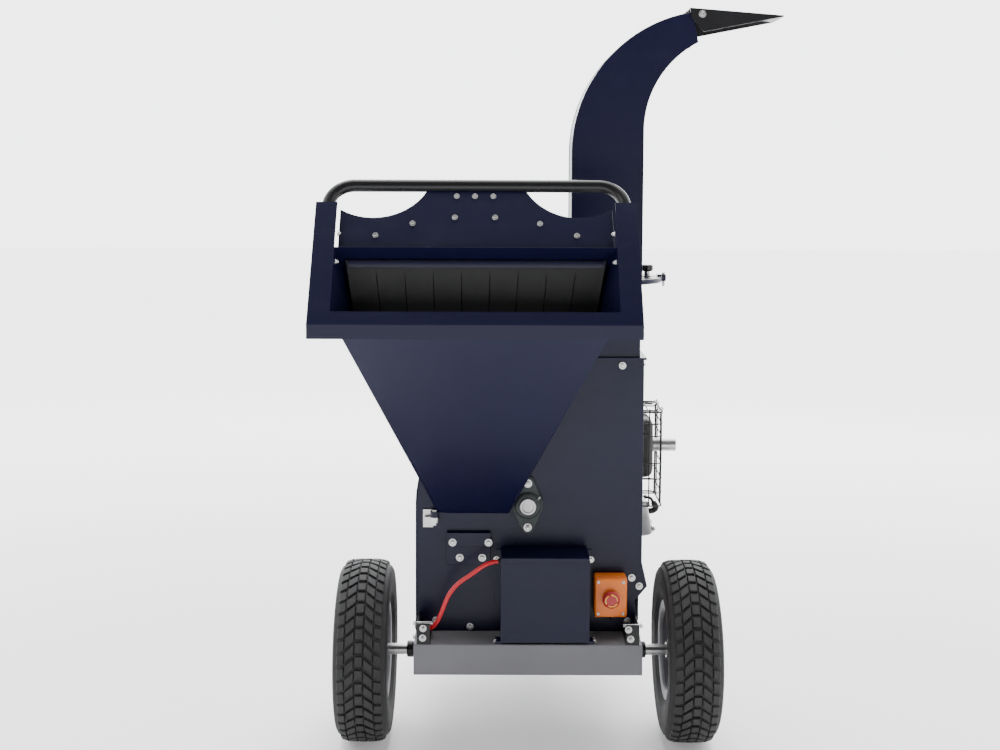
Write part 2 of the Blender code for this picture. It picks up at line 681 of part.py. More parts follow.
def belt_outline(rotor_radius, engine_radius, steps):
    """Outer tangent loop round the two pulleys, from the rotor's to the engine's."""
    away = Vector((CRANK_X, CRANK_Z - ROTOR_Z))
    heading = math.degrees(math.atan2(away.y, away.x))
    spread = math.degrees(math.acos((rotor_radius - engine_radius) / away.length))
    around_rotor = arc((0, ROTOR_Z), rotor_radius, heading + spread, heading + 360 - spread, steps)
    around_engine = arc((CRANK_X, CRANK_Z), engine_radius, heading - spread, heading + spread, steps)
    return [*around_rotor, *around_engine]


def make_drive():
    make_pulley((0, ROTOR_Z), ROTOR_PULLEY_RADIUS, SHAFT_RADIUS, "rotor_pulley", "rotor")
    make_pulley((CRANK_X, CRANK_Z), ENGINE_PULLEY_RADIUS, CRANK_RADIUS, "engine_pulley", "crank")

    inner = belt_outline(ROTOR_PULLEY_RADIUS + RUNNING, ENGINE_PULLEY_RADIUS + RUNNING, 20)
    outer = belt_outline(ROTOR_PULLEY_RADIUS + RUNNING + BELT_THICKNESS,
                         ENGINE_PULLEY_RADIUS + RUNNING + BELT_THICKNESS, 20)
    belt = slab(outer, BELT_MIDDLE - BELT_WIDTH / 2, BELT_MIDDLE + BELT_WIDTH / 2, holes=[inner])
    finish(belt, "drive_belts", RUBBER)

    reach = ROTOR_PULLEY_RADIUS + BELT_THICKNESS + GUARD_MARGIN
    foot = ENGINE_PULLEY_RADIUS + BELT_THICKNESS + GUARD_MARGIN
    start = PLATE_FACE + GAP
    end = PULLEY_REAR + 0.012
    cover = slab(belt_outline(reach, foot, 14), start, end)
    hollow = slab(belt_outline(reach - GUARD_SHEET, foot - GUARD_SHEET, 14), start - 0.01, end - GUARD_SHEET)
    shaft_way = rod((CRANK_X, end - 0.02, CRANK_Z), (CRANK_X, end + 0.02, CRANK_Z), CRANK_RADIUS + 0.008)
    finish(cut(cover, hollow, shaft_way), "belt_guard", BLACK)


# ---- hopper ------------------------------------------------------------------------------
def mouth_point(up, back=0.0):
    """A point of the mouth's plane: up from the folded front lip, and back from the plane."""
    return Vector((0.0, LIP_Y, LIP_Z)) + MOUTH_UP * up + MOUTH_BACK * back


def hopper_sheet():
    """Open surface of the folded hopper sheet, thickened away from the feed way."""
    left, right = MOUTH_X - MOUTH_HALF, MOUTH_X + MOUTH_HALF
    inlet_y = -PLATE_FACE - GAP - BASE_FLANGE + 0.001
    low, high = mouth_point(FLANGE_BOTTOM), mouth_point(FLANGE_BOTTOM + MOUTH_OPENING)
    crease, tip = mouth_point(0), mouth_point(FLANGE_LENGTH)
    shape = bmesh.new()

    def ring(x_left, x_right, bottom, top):
        places = [(x_left, *bottom), (x_right, *bottom), (x_right, *top), (x_left, *top)]
        return [shape.verts.new(place) for place in places]

    inlet = ring(INLET_LEFT, INLET_RIGHT, (inlet_y, INLET_BOTTOM), (inlet_y, INLET_TOP))
    mouth = ring(left, right, low.yz, high.yz)
    flange = ring(left - FLANGE_SIDE, right + FLANGE_SIDE, crease.yz, tip.yz)
    fold = ring(left - FLANGE_SIDE, right + FLANGE_SIDE,
                (crease.y, crease.z - LIP_DROP), (tip.y, tip.z - LIP_DROP))
    peak = ring(left, right, low.yz, tip.yz)[2:]
    for index in range(4):
        after = (index + 1) % 4
        shape.faces.new((inlet[index], inlet[after], mouth[after], mouth[index]))
    shape.faces.new((mouth[0], mouth[1], flange[1], flange[0]))
    shape.faces.new((mouth[1], mouth[2], peak[0], flange[2], flange[1]))
    shape.faces.new((mouth[3], mouth[0], flange[0], flange[3], peak[1]))
    for index in (0, 1, 3):
        after = (index + 1) % 4
        shape.faces.new((flange[index], flange[after], fold[after], fold[index]))
    bmesh.ops.delete(shape, geom=[v for v in shape.verts if not v.link_faces], context="VERTS")
    bmesh.ops.triangulate(shape, faces=[f for f in shape.faces if len(f.verts) == 4])
    bmesh.ops.recalc_face_normals(shape, faces=shape.faces)
    mesh = bpy.data.meshes.new("sheet")
    shape.to_mesh(mesh)
    shape.free()
    return link(mesh)


def make_hopper():
    sheet = hopper_sheet()
    lowest = min(sheet.data.polygons, key=lambda face: face.center.z)
    solid = sheet.modifiers.new("sheet", "SOLIDIFY")
    solid.thickness = SHEET
    solid.offset = 1.0 if lowest.normal.z < 0 else -1.0
    solid.solidify_mode = "NON_MANIFOLD"
    solid.nonmanifold_thickness_mode = "CONSTRAINTS"
    bpy.context.view_layer.update()
    funnel = bake(sheet)

    back = -PLATE_FACE - GAP
    front = back - BASE_FLANGE
    right = INLET_RIGHT + 0.008
    top = INLET_TOP + 0.080
    bottom = INLET_BOTTOM - 0.016
    left = HINGE_X + 0.005
    notch = left + 0.014
    hinge_band = KNUCKLE_HEIGHT * 2 + 0.004
    outline = [(notch, bottom), (right, bottom), (right, top), (notch, top),
               (notch, top - hinge_band), (left, top - hinge_band),
               (left, bottom + hinge_band), (notch, bottom + hinge_band)]
    base = slab(outline, front, back)
    knuckles = []
    foot = bottom - 0.006
    for low in (foot + KNUCKLE_HEIGHT + 0.001, top - KNUCKLE_HEIGHT * 2 - 0.001):
        high = low + KNUCKLE_HEIGHT
        knuckles.append(rod((HINGE_X, HINGE_Y, low), (HINGE_X, HINGE_Y, high), KNUCKLE_RADIUS, SMALL))
        knuckles.append(block((HINGE_X, front - 0.002, low), (notch + 0.006, front + 0.006, high)))
    bores = [rod((HINGE_X, HINGE_Y, bottom - 0.02), (HINGE_X, HINGE_Y, top + 0.02),
                 HINGE_PIN_RADIUS + GAP * 2, SMALL)]
    funnel = join(funnel, base, *knuckles)
    way = block((INLET_LEFT + GAP, front - 0.004, INLET_BOTTOM + GAP),
                (INLET_RIGHT - GAP, back + 0.01, INLET_TOP - GAP))
    funnel = cut(funnel, *bores, way)
    finish(funnel, "hopper", NAVY, "hopper")

    for low, side, name in ((foot, 0, "lower"), (top - KNUCKLE_HEIGHT, 1, "upper")):
        high = low + KNUCKLE_HEIGHT
        knuckle = rod((HINGE_X, HINGE_Y, low), (HINGE_X, HINGE_Y, high), KNUCKLE_RADIUS, SMALL)
        leaf = block((HINGE_X - 0.022, HINGE_Y, low), (HINGE_X, back, high))
        plate = block((HINGE_X - 0.026, back - 0.004, low - 0.014), (HINGE_X - 0.004, back, high + 0.014))
        pin_low = low - 0.006 if side == 0 else low - KNUCKLE_HEIGHT - 0.006
        pin_high = high + KNUCKLE_HEIGHT + 0.004 if side == 0 else high + 0.004
        pin = rod((HINGE_X, HINGE_Y, pin_low), (HINGE_X, HINGE_Y, pin_high), HINGE_PIN_RADIUS, SMALL)
        finish(join(knuckle, leaf, plate, pin), "hinge_" + name, ZINC)


def tilt_to_mouth(piece, back):
    """Stand a piece made in X and Z, with Y as its depth, in a plane parallel to the mouth's."""
    place = mouth_point(0, back)
    tilt = Matrix.Rotation(-MOUTH_TILT, 4, "X")
    piece.matrix_world = Matrix.Translation(place) @ tilt
    bpy.context.view_layer.update()
    return bake(piece)


def make_hopper_fittings():
    left, right = MOUTH_X - MOUTH_HALF, MOUTH_X + MOUTH_HALF
    bottom = FLANGE_BOTTOM + MOUTH_OPENING + 0.0015
    tab = HANDLE_RISE - HANDLE_RADIUS - GAP
    reach = right - 0.002 - MOUTH_X
    start = 180 - math.degrees(math.asin((tab - SCALLOP_RISE) / SCALLOP_RADIUS))
    end = 360 - math.degrees(math.acos((reach - SCALLOP_X) / SCALLOP_RADIUS))
    scoop = arc((SCALLOP_X, SCALLOP_RISE), SCALLOP_RADIUS, end, start, 14)
    outline = [(left + 0.002, bottom), (right - 0.002, bottom)]
    outline += [(MOUTH_X + x, z) for x, z in scoop]
    outline += [(MOUTH_X - x, z) for x, z in reversed(scoop)]
    panel = slab(outline, -SHEET / 2, SHEET / 2)
    finish(tilt_to_mouth(panel, HANDLE_SETBACK), "hopper_back_panel", NAVY, "hopper")

    leg_x = MOUTH_HALF + FLANGE_SIDE / 2
    turn = HANDLE_CORNER
    top = HANDLE_RISE
    corner_right = arc((MOUTH_X + leg_x - turn, top - turn), turn, 0, 90, 6)
    corner_left = arc((MOUTH_X - leg_x + turn, top - turn), turn, 90, 180, 6)
    route = [(MOUTH_X + leg_x, HANDLE_LEG_LOW), *corner_right, *corner_left, (MOUTH_X - leg_x, HANDLE_LEG_LOW)]
    bar = tube([(x, 0, z) for x, z in route], HANDLE_RADIUS, 4)
    finish(tilt_to_mouth(bar, HANDLE_SETBACK), "push_handle", BLACK, "hopper")

    curtain_y = mouth_point(FLANGE_BOTTOM + MOUTH_OPENING).y + 0.014
    along = (curtain_y + PLATE_FACE) / (mouth_point(FLANGE_BOTTOM).y + PLATE_FACE)
    floor = INLET_BOTTOM + (mouth_point(FLANGE_BOTTOM).z - INLET_BOTTOM) * along
    roof = mouth_point(FLANGE_BOTTOM + MOUTH_OPENING).z - 0.026
    low_left = INLET_LEFT + (left - INLET_LEFT) * along + 0.008
    low_right = INLET_RIGHT + (right - INLET_RIGHT) * along - 0.008
    sheet = [(low_left, floor + 0.014), (low_right, floor + 0.014),
             (right - 0.020, roof), (left + 0.020, roof)]
    curtain = slab(sheet, curtain_y, curtain_y + 0.004)
    finish(curtain, "feed_curtain", RUBBER, "hopper")


# ---- discharge tower and chute -----------------------------------------------------------
def make_neck():
    low = TOWER_TOP + GAP
    half = CHUTE_HALF - 0.001
    duct = block((CHUTE_X - half, -CHUTE_Y, low), (CHUTE_X + half, CHUTE_Y, NECK_TOP - 0.002))
    base = block((CHUTE_X - half - 0.014, -PLATE_FACE - 0.008, low),
                 (CHUTE_X + half + 0.014, PLATE_FACE + 0.008, low + 0.005))
    ring = rod((CHUTE_X, 0, NECK_TOP - RING_THICKNESS), (CHUTE_X, 0, NECK_TOP), RING_RADIUS, 48)
    clips = []
    hook_low = CHUTE_BASE + RING_THICKNESS + RUNNING
    for index in range(3):
        outline = [(RING_RADIUS - 0.004, NECK_TOP - RING_THICKNESS + 0.001),
                   (RING_RADIUS + 0.009, NECK_TOP - RING_THICKNESS + 0.001),
                   (RING_RADIUS + 0.009, hook_low + 0.004), (RING_RADIUS - 0.010, hook_low + 0.004),
                   (RING_RADIUS - 0.010, hook_low), (RING_RADIUS + 0.001, hook_low),
                   (RING_RADIUS + 0.001, NECK_TOP - 0.001), (RING_RADIUS - 0.004, NECK_TOP - 0.001)]
        clip = slab(outline, -0.012, 0.012)
        clip.matrix_world = Matrix.Translation((CHUTE_X, 0, 0)) @ Matrix.Rotation(
            math.radians(120 * index), 4, "Z")
        clips.append(clip)
    wall = CHUTE_SHEET
    way = block((CHUTE_X - half + wall, -CHUTE_Y + wall, low - 0.01),
                (CHUTE_X + half - wall, CHUTE_Y - wall, NECK_TOP + 0.001))
    neck = cut(join(duct, base, ring, *clips), way)
    finish(neck, "tower_neck", NAVY)


def chute_outline(inset, base, reach):
    """Side view of the curved chute: straight up, then bent over towards +X."""
    left = CHUTE_X - CHUTE_HALF + inset
    right = CHUTE_X + CHUTE_HALF - inset
    outer_radius = BEND_RADIUS_OUTER - inset
    inner_radius = BEND_RADIUS_INNER + inset
    outer_centre = (CHUTE_X - CHUTE_HALF + BEND_RADIUS_OUTER, BEND_START)
    inner_centre = (CHUTE_X + CHUTE_HALF + BEND_RADIUS_INNER, BEND_START + BEND_INNER_RISE)
    outer = arc(outer_centre, outer_radius, 180, OUTLET_ANGLE_OUTER - reach, 12)
    inner = arc(inner_centre, inner_radius, OUTLET_ANGLE_INNER - reach, 180, 9)
    return [(left, base), *outer, *inner, (right, base)]


def make_chute():
    base = CHUTE_BASE
    body = slab(chute_outline(0, base + 0.001, 0), -CHUTE_Y, CHUTE_Y)
    ring = rod((CHUTE_X, 0, base), (CHUTE_X, 0, base + RING_THICKNESS), RING_RADIUS, 48)
    inner = CHUTE_Y - CHUTE_SHEET
    ears = []
    for side in (-1, 1):
        edges = sorted((side * (CHUTE_Y - GAP), side * (inner + GAP)))
        ears.append(block((OUTLET_TOP.x - 0.012, edges[0], OUTLET_TOP.z - 0.026),
                          (DEFLECTOR_PIVOT.x + 0.007, edges[1], OUTLET_TOP.z - 0.001)))
    way = slab(chute_outline(CHUTE_SHEET, base - 0.01, 4), -inner, inner)
    finish(cut(join(body, ring, *ears), way), "chute", NAVY, "chute")

    knob_x = CHUTE_X + KNOB_REACH
    top = base + RING_THICKNESS + GAP
    profile = [(0.0, 0.026), (KNOB_RADIUS - 0.002, 0.026), (KNOB_RADIUS, 0.024), (KNOB_RADIUS, 0.014),
               (KNOB_RADIUS - 0.002, 0.012), (0.0065, 0.011), (0.0065, 0.0), (0.0, 0.0)]
    knob = turned(profile, (knob_x, 0, top), (0, 0, 1), SMALL)
    finish(knob, "swivel_knob", PLASTIC, "swivel_knob")


def make_deflector():
    """Black channel over the outlet: a sloping top sheet between two pointed cheeks."""
    back, pivot = DEFLECTOR_BACK, DEFLECTOR_PIVOT
    drop = 0.016
    tip = (DEFLECTOR_TIP_X, back.z - drop)
    inner = CHUTE_Y + GAP * 4
    outer = inner + DEFLECTOR_SHEET
    top_sheet = slab([(back.x, back.z - DEFLECTOR_SHEET), (tip[0], tip[1] - DEFLECTOR_SHEET), tip,
                      (back.x, back.z)], -outer, outer)
    cheek = [(back.x, back.z - 0.001), (back.x + 0.004, back.z - 0.022),
             (pivot.x + 0.004, pivot.z - 0.038), (tip[0], tip[1] - 0.0025), (tip[0], tip[1] - 0.001)]
    cheeks = [slab(cheek, -outer, -inner), slab(cheek, inner, outer)]
    finish(join(top_sheet, *cheeks), "deflector", BLACK, "deflector")


# ---- battery, emergency stop and starter cable -------------------------------------------
def make_electrics():
    half = BATTERY_SIZE[0] / 2
    low = DECK_TOP + 0.004
    back = -PLATE_FACE - GAP
    front = DECK_FRONT
    wall = BATTERY_BOX_SHEET
    wide = half + BATTERY_CLEARANCE + wall
    box = block((BATTERY_BOX_X - wide, front, low), (BATTERY_BOX_X + wide, back, BATTERY_BOX_TOP))
    inside = block((BATTERY_BOX_X - wide + wall, front + wall, low + wall),
                   (BATTERY_BOX_X + wide - wall, back + 0.01, BATTERY_BOX_TOP - wall))
    ears = []
    for side in (-1, 1):
        edge = BATTERY_BOX_X + side * wide
        edges = sorted((edge - side * 0.001, edge + side * 0.013))
        ears.append(block((edges[0], back - wall, low + 0.060), (edges[1], back, BATTERY_BOX_TOP - 0.004)))
        ears.append(block((edges[0], front + 0.004, DECK_TOP + GAP), (edges[1], front + 0.034, low + wall)))
    box = cut(join(box, *ears), inside)
    finish(box, "battery_box", NAVY)

    depth = BATTERY_SIZE[1]
    start = front + wall + GAP
    base = low + wall + GAP
    battery = block((BATTERY_BOX_X - half, start, base),
                    (BATTERY_BOX_X + half, start + depth, base + BATTERY_SIZE[2]))
    finish(soften(battery, 0.004, 1), "battery", PLASTIC)

    stop_front = back - ESTOP_SIZE[1]
    stop = block((ESTOP_X - ESTOP_SIZE[0] / 2, stop_front, ESTOP_Z - ESTOP_SIZE[2] / 2),
                 (ESTOP_X + ESTOP_SIZE[0] / 2, back, ESTOP_Z + ESTOP_SIZE[2] / 2))
    stop = soften(stop, 0.004, 2)
    collar = rod((ESTOP_X, stop_front - 0.004, ESTOP_Z), (ESTOP_X, stop_front + 0.002, ESTOP_Z), 0.015, 24)
    bore = rod((ESTOP_X, stop_front - 0.01, ESTOP_Z), (ESTOP_X, stop_front + 0.014, ESTOP_Z), 0.0105, 24)
    finish(cut(join(stop, collar), bore), "estop_box", ORANGE)

    cap_back = stop_front - 0.004 - ESTOP_TRAVEL - RUNNING
    radius = ESTOP_CAP_RADIUS
    profile = [(0.0, 0.013), (radius * 0.7, 0.012), (radius * 0.95, 0.009), (radius, 0.005), (radius, 0.0),
               (0.0085, 0.0), (0.0085, -0.017), (0.0, -0.017)]
    button = turned(profile, (ESTOP_X, cap_back, ESTOP_Z), (0, -1, 0), 24)
    finish(button, "estop_button", RED, "estop")

    hole_z = DECK_TOP + 0.0135
    start_x = BATTERY_BOX_X - wide - GAP * 3
    terminal = (STARTER_X - 0.012, ENGINE_FRONT + 0.0193, STARTER_Z)
    route = [(start_x, -0.128, 0.444), (start_x - 0.014, -0.128, 0.444), (-0.096, -0.135, 0.438),
             (-0.124, -0.138, 0.419), (-0.153, -0.138, 0.398), (-0.172, -0.136, 0.374),
             (-0.183, -0.133, 0.349), (-0.193, -0.127, 0.322), (-0.206, -0.116, 0.297),
             (-0.222, -0.098, hole_z + 0.002), (CABLE_HOLE_X, -0.070, hole_z), (CABLE_HOLE_X, 0.000, hole_z),
             (CABLE_HOLE_X, 0.070, hole_z), (-0.220, 0.110, hole_z + 0.004), (-0.190, 0.150, 0.300),
             (-0.152, 0.172, 0.334), (terminal[0], 0.192, terminal[2]), terminal]
    cable = tube(smooth_route(route, CABLE_RADIUS * 4.4), CABLE_RADIUS)
    finish(cable, "starter_cable", RED)


# ---- engine ------------------------------------------------------------------------------
def make_engine():
    base = DECK_TOP + GAP
    middle = ENGINE_FRONT + ENGINE_LENGTH / 2
    feet = block((-0.078, ENGINE_FRONT - 0.004, base), (0.150, ENGINE_REAR - 0.006, base + 0.018))
    case = soften(block((-0.070, ENGINE_FRONT, base + 0.010), (0.132, ENGINE_REAR - 0.006, CASE_TOP)), 0.014, 2)
    slope = Vector((math.cos(CYLINDER_SLOPE), 0, math.sin(CYLINDER_SLOPE)))
    start = Vector((CRANK_X, middle, CRANK_Z))
    barrel = rod(start + slope * 0.06, start + slope * 0.190, 0.052, ROUND)
    fins = [rod(start + slope * (0.106 + 0.022 * i), start + slope * (0.112 + 0.022 * i), 0.070, 20)
            for i in range(4)]
    nose = rod((CRANK_X, ENGINE_FRONT + 0.005, CRANK_Z), (CRANK_X, ENGINE_FRONT - 0.012, CRANK_Z), 0.040, 24)
    bore = rod((CRANK_X, ENGINE_FRONT - 0.05, CRANK_Z), (CRANK_X, ENGINE_REAR + 0.05, CRANK_Z),
               CRANK_RADIUS + GAP, 24)
    engine = cut(join(case, feet, barrel, *fins, nose), bore)
    finish(engine, "engine_block", ALUMINIUM)

    turn = Matrix.Translation(start) @ Matrix.Rotation(-CYLINDER_SLOPE, 4, "Y")
    head = block((0.1905, -0.062, -0.058), (0.238, 0.062, 0.058))
    cover = block((0.237, -0.048, -0.044), (0.272, 0.048, 0.044))
    slots = []
    for index in range(5):
        low = -0.046 + 0.020 * index
        slots.append(block((0.196, -0.07, low), (0.232, -0.040, low + 0.009)))
        slots.append(block((0.196, 0.040, low), (0.232, 0.07, low + 0.009)))
    head = cut(join(head, soften(cover, 0.010, 2)), *slots)
    head.matrix_world = turn
    bpy.context.view_layer.update()
    finish(bake(head), "cylinder_head", ALUMINIUM)

    shaft = rod((CRANK_X, PULLEY_FRONT - 0.004, CRANK_Z), (CRANK_X, ENGINE_REAR + 0.060, CRANK_Z), CRANK_RADIUS, 24)
    flywheel = rod((CRANK_X, ENGINE_REAR + 0.014, CRANK_Z), (CRANK_X, ENGINE_REAR + 0.050, CRANK_Z),
                   FAN_RADIUS - 0.020)
    finish(join(shaft, flywheel), "crankshaft", STEEL, "crank")

    shell_start = ENGINE_REAR + GAP
    depth = FAN_DEPTH
    fan = FAN_RADIUS
    profile = [(fan - 0.030, depth), (fan - 0.008, depth - 0.010), (fan, depth - 0.022), (fan, 0.0),
               (fan - 0.004, 0.0), (fan - 0.004, depth - 0.024), (fan - 0.010, depth - 0.014),
               (fan - 0.032, depth - 0.004), (0.070, depth - 0.004), (0.070, depth)]
    shroud = turned(profile, (CRANK_X, shell_start, CRANK_Z), (0, 1, 0), ROUND, closed=True)
    finish(shroud, "fan_shroud", PLASTIC)

    recoil = RECOIL_RADIUS
    start_y = shell_start + depth + GAP
    profile = [(0.0, 0.034), (0.050, 0.034), (0.062, 0.028), (recoil - 0.006, 0.020), (recoil, 0.012),
               (recoil, 0.0), (0.0, 0.0)]
    cover = turned(profile, (CRANK_X, start_y, CRANK_Z), (0, 1, 0), ROUND)
    finish(cover, "recoil_cover", BLACK)

    pull = Vector((-0.80, 0.0, 0.60))
    exit_point = Vector((CRANK_X, start_y + 0.012, CRANK_Z)) + pull * (recoil + 0.002)
    stem = rod(exit_point, exit_point + pull * 0.014, 0.006, SMALL)
    grip = soften(block((-0.030, -0.008, 0.012), (0.030, 0.008, 0.030)), 0.005, 2)
    grip.matrix_world = Matrix.Translation(exit_point) @ Vector((0, 0, 1)).rotation_difference(pull).to_matrix().to_4x4()
    bpy.context.view_layer.update()
    finish(join(stem, bake(grip)), "recoil_grip", PLASTIC, "recoil")


def make_engine_fittings():
    muffler = soften(block(MUFFLER_LOW, MUFFLER_HIGH), 0.018, 3)
    middle = ENGINE_FRONT + ENGINE_LENGTH / 2
    pipe = rod((0.200, middle, 0.5056), (0.200, middle, MUFFLER_LOW[2] + 0.01), 0.016, SMALL)
    finish(join(muffler, pipe), "muffler", BLACK)

    outlet_y = 0.250
    right = MUFFLER_HIGH[0] + GAP
    bore = OUTLET_RADIUS - 0.002
    length = OUTLET_END - right
    profile = [(bore, length), (OUTLET_RADIUS, length), (OUTLET_RADIUS, 0.0), (bore, 0.0)]
    outlet = turned(profile, (right, outlet_y, OUTLET_Z), (1, 0, 0), 24, closed=True)
    finish(outlet, "exhaust_outlet", ZINC)

    low, high, sheet = 0.490, 0.722, 0.002
    left, edge = 0.160, 0.331
    front, rear = 0.182, 0.344
    guard = block((left, front, low), (edge, rear, high))
    hollow = block((left - 0.01, front + sheet, low - 0.01), (edge - sheet, rear - sheet, high - sheet))
    windows = []
    for row in range(5):
        z = low + 0.012 + 0.043 * row
        windows.append(block((left + 0.010, front - 0.01, z), (edge - 0.010, rear + 0.01, z + 0.034)))
        for column in range(3):
            y = front + 0.010 + 0.049 * column
            windows.append(block((edge - 0.01, y, z), (edge + 0.01, y + 0.042, z + 0.034)))
    for column in range(3):
        y = front + 0.010 + 0.049 * column
        windows.append(block((left + 0.010, y, high - 0.01), (edge - 0.010, y + 0.042, high + 0.01)))
    way_out = rod((edge - 0.02, outlet_y, OUTLET_Z), (edge + 0.02, outlet_y, OUTLET_Z), OUTLET_RADIUS + 0.003, 24)
    finish(cut(guard, hollow, *windows, way_out), "muffler_guard", BLACK)

    tank = soften(block(TANK_LOW, TANK_HIGH), 0.024, 3)
    leg_low = CASE_TOP + GAP
    legs = [block((x, y, leg_low), (x + 0.022, y + 0.022, TANK_LOW[2] + 0.006))
            for x, y in ((-0.040, 0.215), (0.080, 0.215), (0.080, 0.285))]
    finish(join(tank, *legs), "fuel_tank", BLACK)

    cap_x, cap_y = BODY_PLACES["fuel_cap"].xy
    profile = [(0.0, 0.018), (0.026, 0.018), (0.030, 0.014), (0.030, 0.0), (0.0, 0.0)]
    cap = turned(profile, (cap_x, cap_y, TANK_HIGH[2] + GAP), (0, 0, 1), 24)
    finish(cap, "fuel_cap", PLASTIC, "fuel_cap")

    cleaner = soften(block((-0.118, ENGINE_FRONT + 0.006, 0.494), (-0.046, ENGINE_FRONT + 0.110, 0.590)), 0.012, 2)
    finish(cleaner, "air_cleaner", PLASTIC)

    carb = soften(block((-0.046 + GAP, ENGINE_FRONT + 0.062, CASE_TOP + GAP),
                        (0.004, ENGINE_FRONT + 0.110, 0.545)), 0.006, 1)
    finish(carb, "carburettor", ALUMINIUM)

    starter_front = ENGINE_FRONT + 0.0325
    starter = rod((STARTER_X, starter_front, STARTER_Z), (STARTER_X, ENGINE_REAR, STARTER_Z), STARTER_RADIUS, 24)
    stud = rod((STARTER_X - 0.012, ENGINE_FRONT + 0.020 + GAP, STARTER_Z),
               (STARTER_X - 0.012, starter_front + 0.002, STARTER_Z), 0.0065, SMALL)
    bracket = block((STARTER_X + 0.020, ENGINE_REAR - 0.040, STARTER_Z - 0.014),
                    (-0.070 - GAP, ENGINE_REAR - 0.012, STARTER_Z + 0.014))
    finish(join(starter, stud, bracket), "starter_motor", BLACK)


def make_controls():
    key_place = BODY_PLACES["key"]
    front = key_place.y - 0.024
    box = block((SWITCH_LEFT, front, 0.520), (-0.060, front + 0.048, 0.590))
    arm = block((-0.066, front + 0.004, 0.512), (-0.040, front + 0.013, 0.522))
    leg = block((-0.052, front + 0.004, CASE_TOP + GAP), (-0.040, front + 0.013, 0.516))
    finish(join(soften(box, 0.004, 1), arm, leg), "switch_box", PLASTIC)
    barrel = rod((SWITCH_LEFT - GAP, key_place.y, KEY_Z), (SWITCH_LEFT - 0.006, key_place.y, KEY_Z), 0.008, SMALL)
    bow = block((SWITCH_LEFT - 0.026, key_place.y - 0.0015, KEY_Z - 0.010),
                (SWITCH_LEFT - 0.004, key_place.y + 0.0015, KEY_Z + 0.010))
    finish(join(barrel, bow), "ignition_key", ZINC, "key")

    place = BODY_PLACES["throttle"]
    pivot = rod((place.x, place.y - 0.012, place.z), (place.x, place.y - GAP, place.z), 0.009, SMALL)
    arm = block((place.x - 0.060, place.y - 0.008, place.z - 0.004), (place.x, place.y - 0.005, place.z + 0.004))
    finish(join(pivot, arm), "throttle_lever", ZINC, "throttle")


make_wheel(-1, "left")
make_wheel(1, "right")
make_axle()
make_deck()
make_tow_bar()
make_housing()
make_bearing(-1, "front_bearing")
make_bearing(1, "rear_bearing")
make_rotor()
make_drive()
make_hopper()
make_hopper_fittings()
make_neck()
make_chute()
make_deflector()
make_electrics()
make_engine()
make_engine_fittings()
make_controls()
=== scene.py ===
import json
import math
import bpy
import bmesh
from mathutils import Matrix, Vector


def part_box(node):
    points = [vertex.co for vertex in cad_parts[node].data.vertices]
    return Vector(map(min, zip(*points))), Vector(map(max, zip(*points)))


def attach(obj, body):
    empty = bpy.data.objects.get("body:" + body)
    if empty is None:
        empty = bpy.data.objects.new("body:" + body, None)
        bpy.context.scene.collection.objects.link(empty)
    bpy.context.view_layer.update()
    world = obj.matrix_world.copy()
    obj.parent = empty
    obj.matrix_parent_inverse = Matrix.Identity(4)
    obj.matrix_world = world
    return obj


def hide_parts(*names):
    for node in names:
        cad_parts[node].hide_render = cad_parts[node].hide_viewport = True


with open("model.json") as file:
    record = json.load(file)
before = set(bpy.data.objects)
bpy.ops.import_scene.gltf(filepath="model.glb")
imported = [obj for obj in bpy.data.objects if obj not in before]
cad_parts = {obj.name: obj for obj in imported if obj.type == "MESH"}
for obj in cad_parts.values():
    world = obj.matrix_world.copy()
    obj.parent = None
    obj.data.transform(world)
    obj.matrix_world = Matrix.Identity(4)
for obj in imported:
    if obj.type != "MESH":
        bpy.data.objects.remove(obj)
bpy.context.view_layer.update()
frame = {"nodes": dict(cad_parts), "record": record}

nodes = frame["nodes"]
axleLow, axleHigh = [Vector(corner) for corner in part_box("axle")]
datum = (axleLow + axleHigh) / 2 * Vector((1, 1, 0))  # midway between the wheels, on the ground


def at(x, y, z):
    return datum + Vector((x, y, z))


def nodeBox(name):
    low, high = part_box(name)
    return Vector(low) - datum, Vector(high) - datum


class Value:
    # a socket of one material, so that sums and products add Math nodes
    def __init__(self, material, socket):
        self.material = material
        self.socket = socket

    def maths(self, operation, *others):
        return self.material.node("ShaderNodeMath", {"operation": operation}, [self, *others])

    def __add__(self, other):
        return self.maths("ADD", other)

    def __radd__(self, other):
        return self.maths("ADD", other)

    def __sub__(self, other):
        return self.maths("SUBTRACT", other)

    def __rsub__(self, other):
        return self.material.node("ShaderNodeMath", {"operation": "SUBTRACT"}, [other, self])

    def __mul__(self, other):
        return self.maths("MULTIPLY", other)

    def __rmul__(self, other):
        return self.maths("MULTIPLY", other)


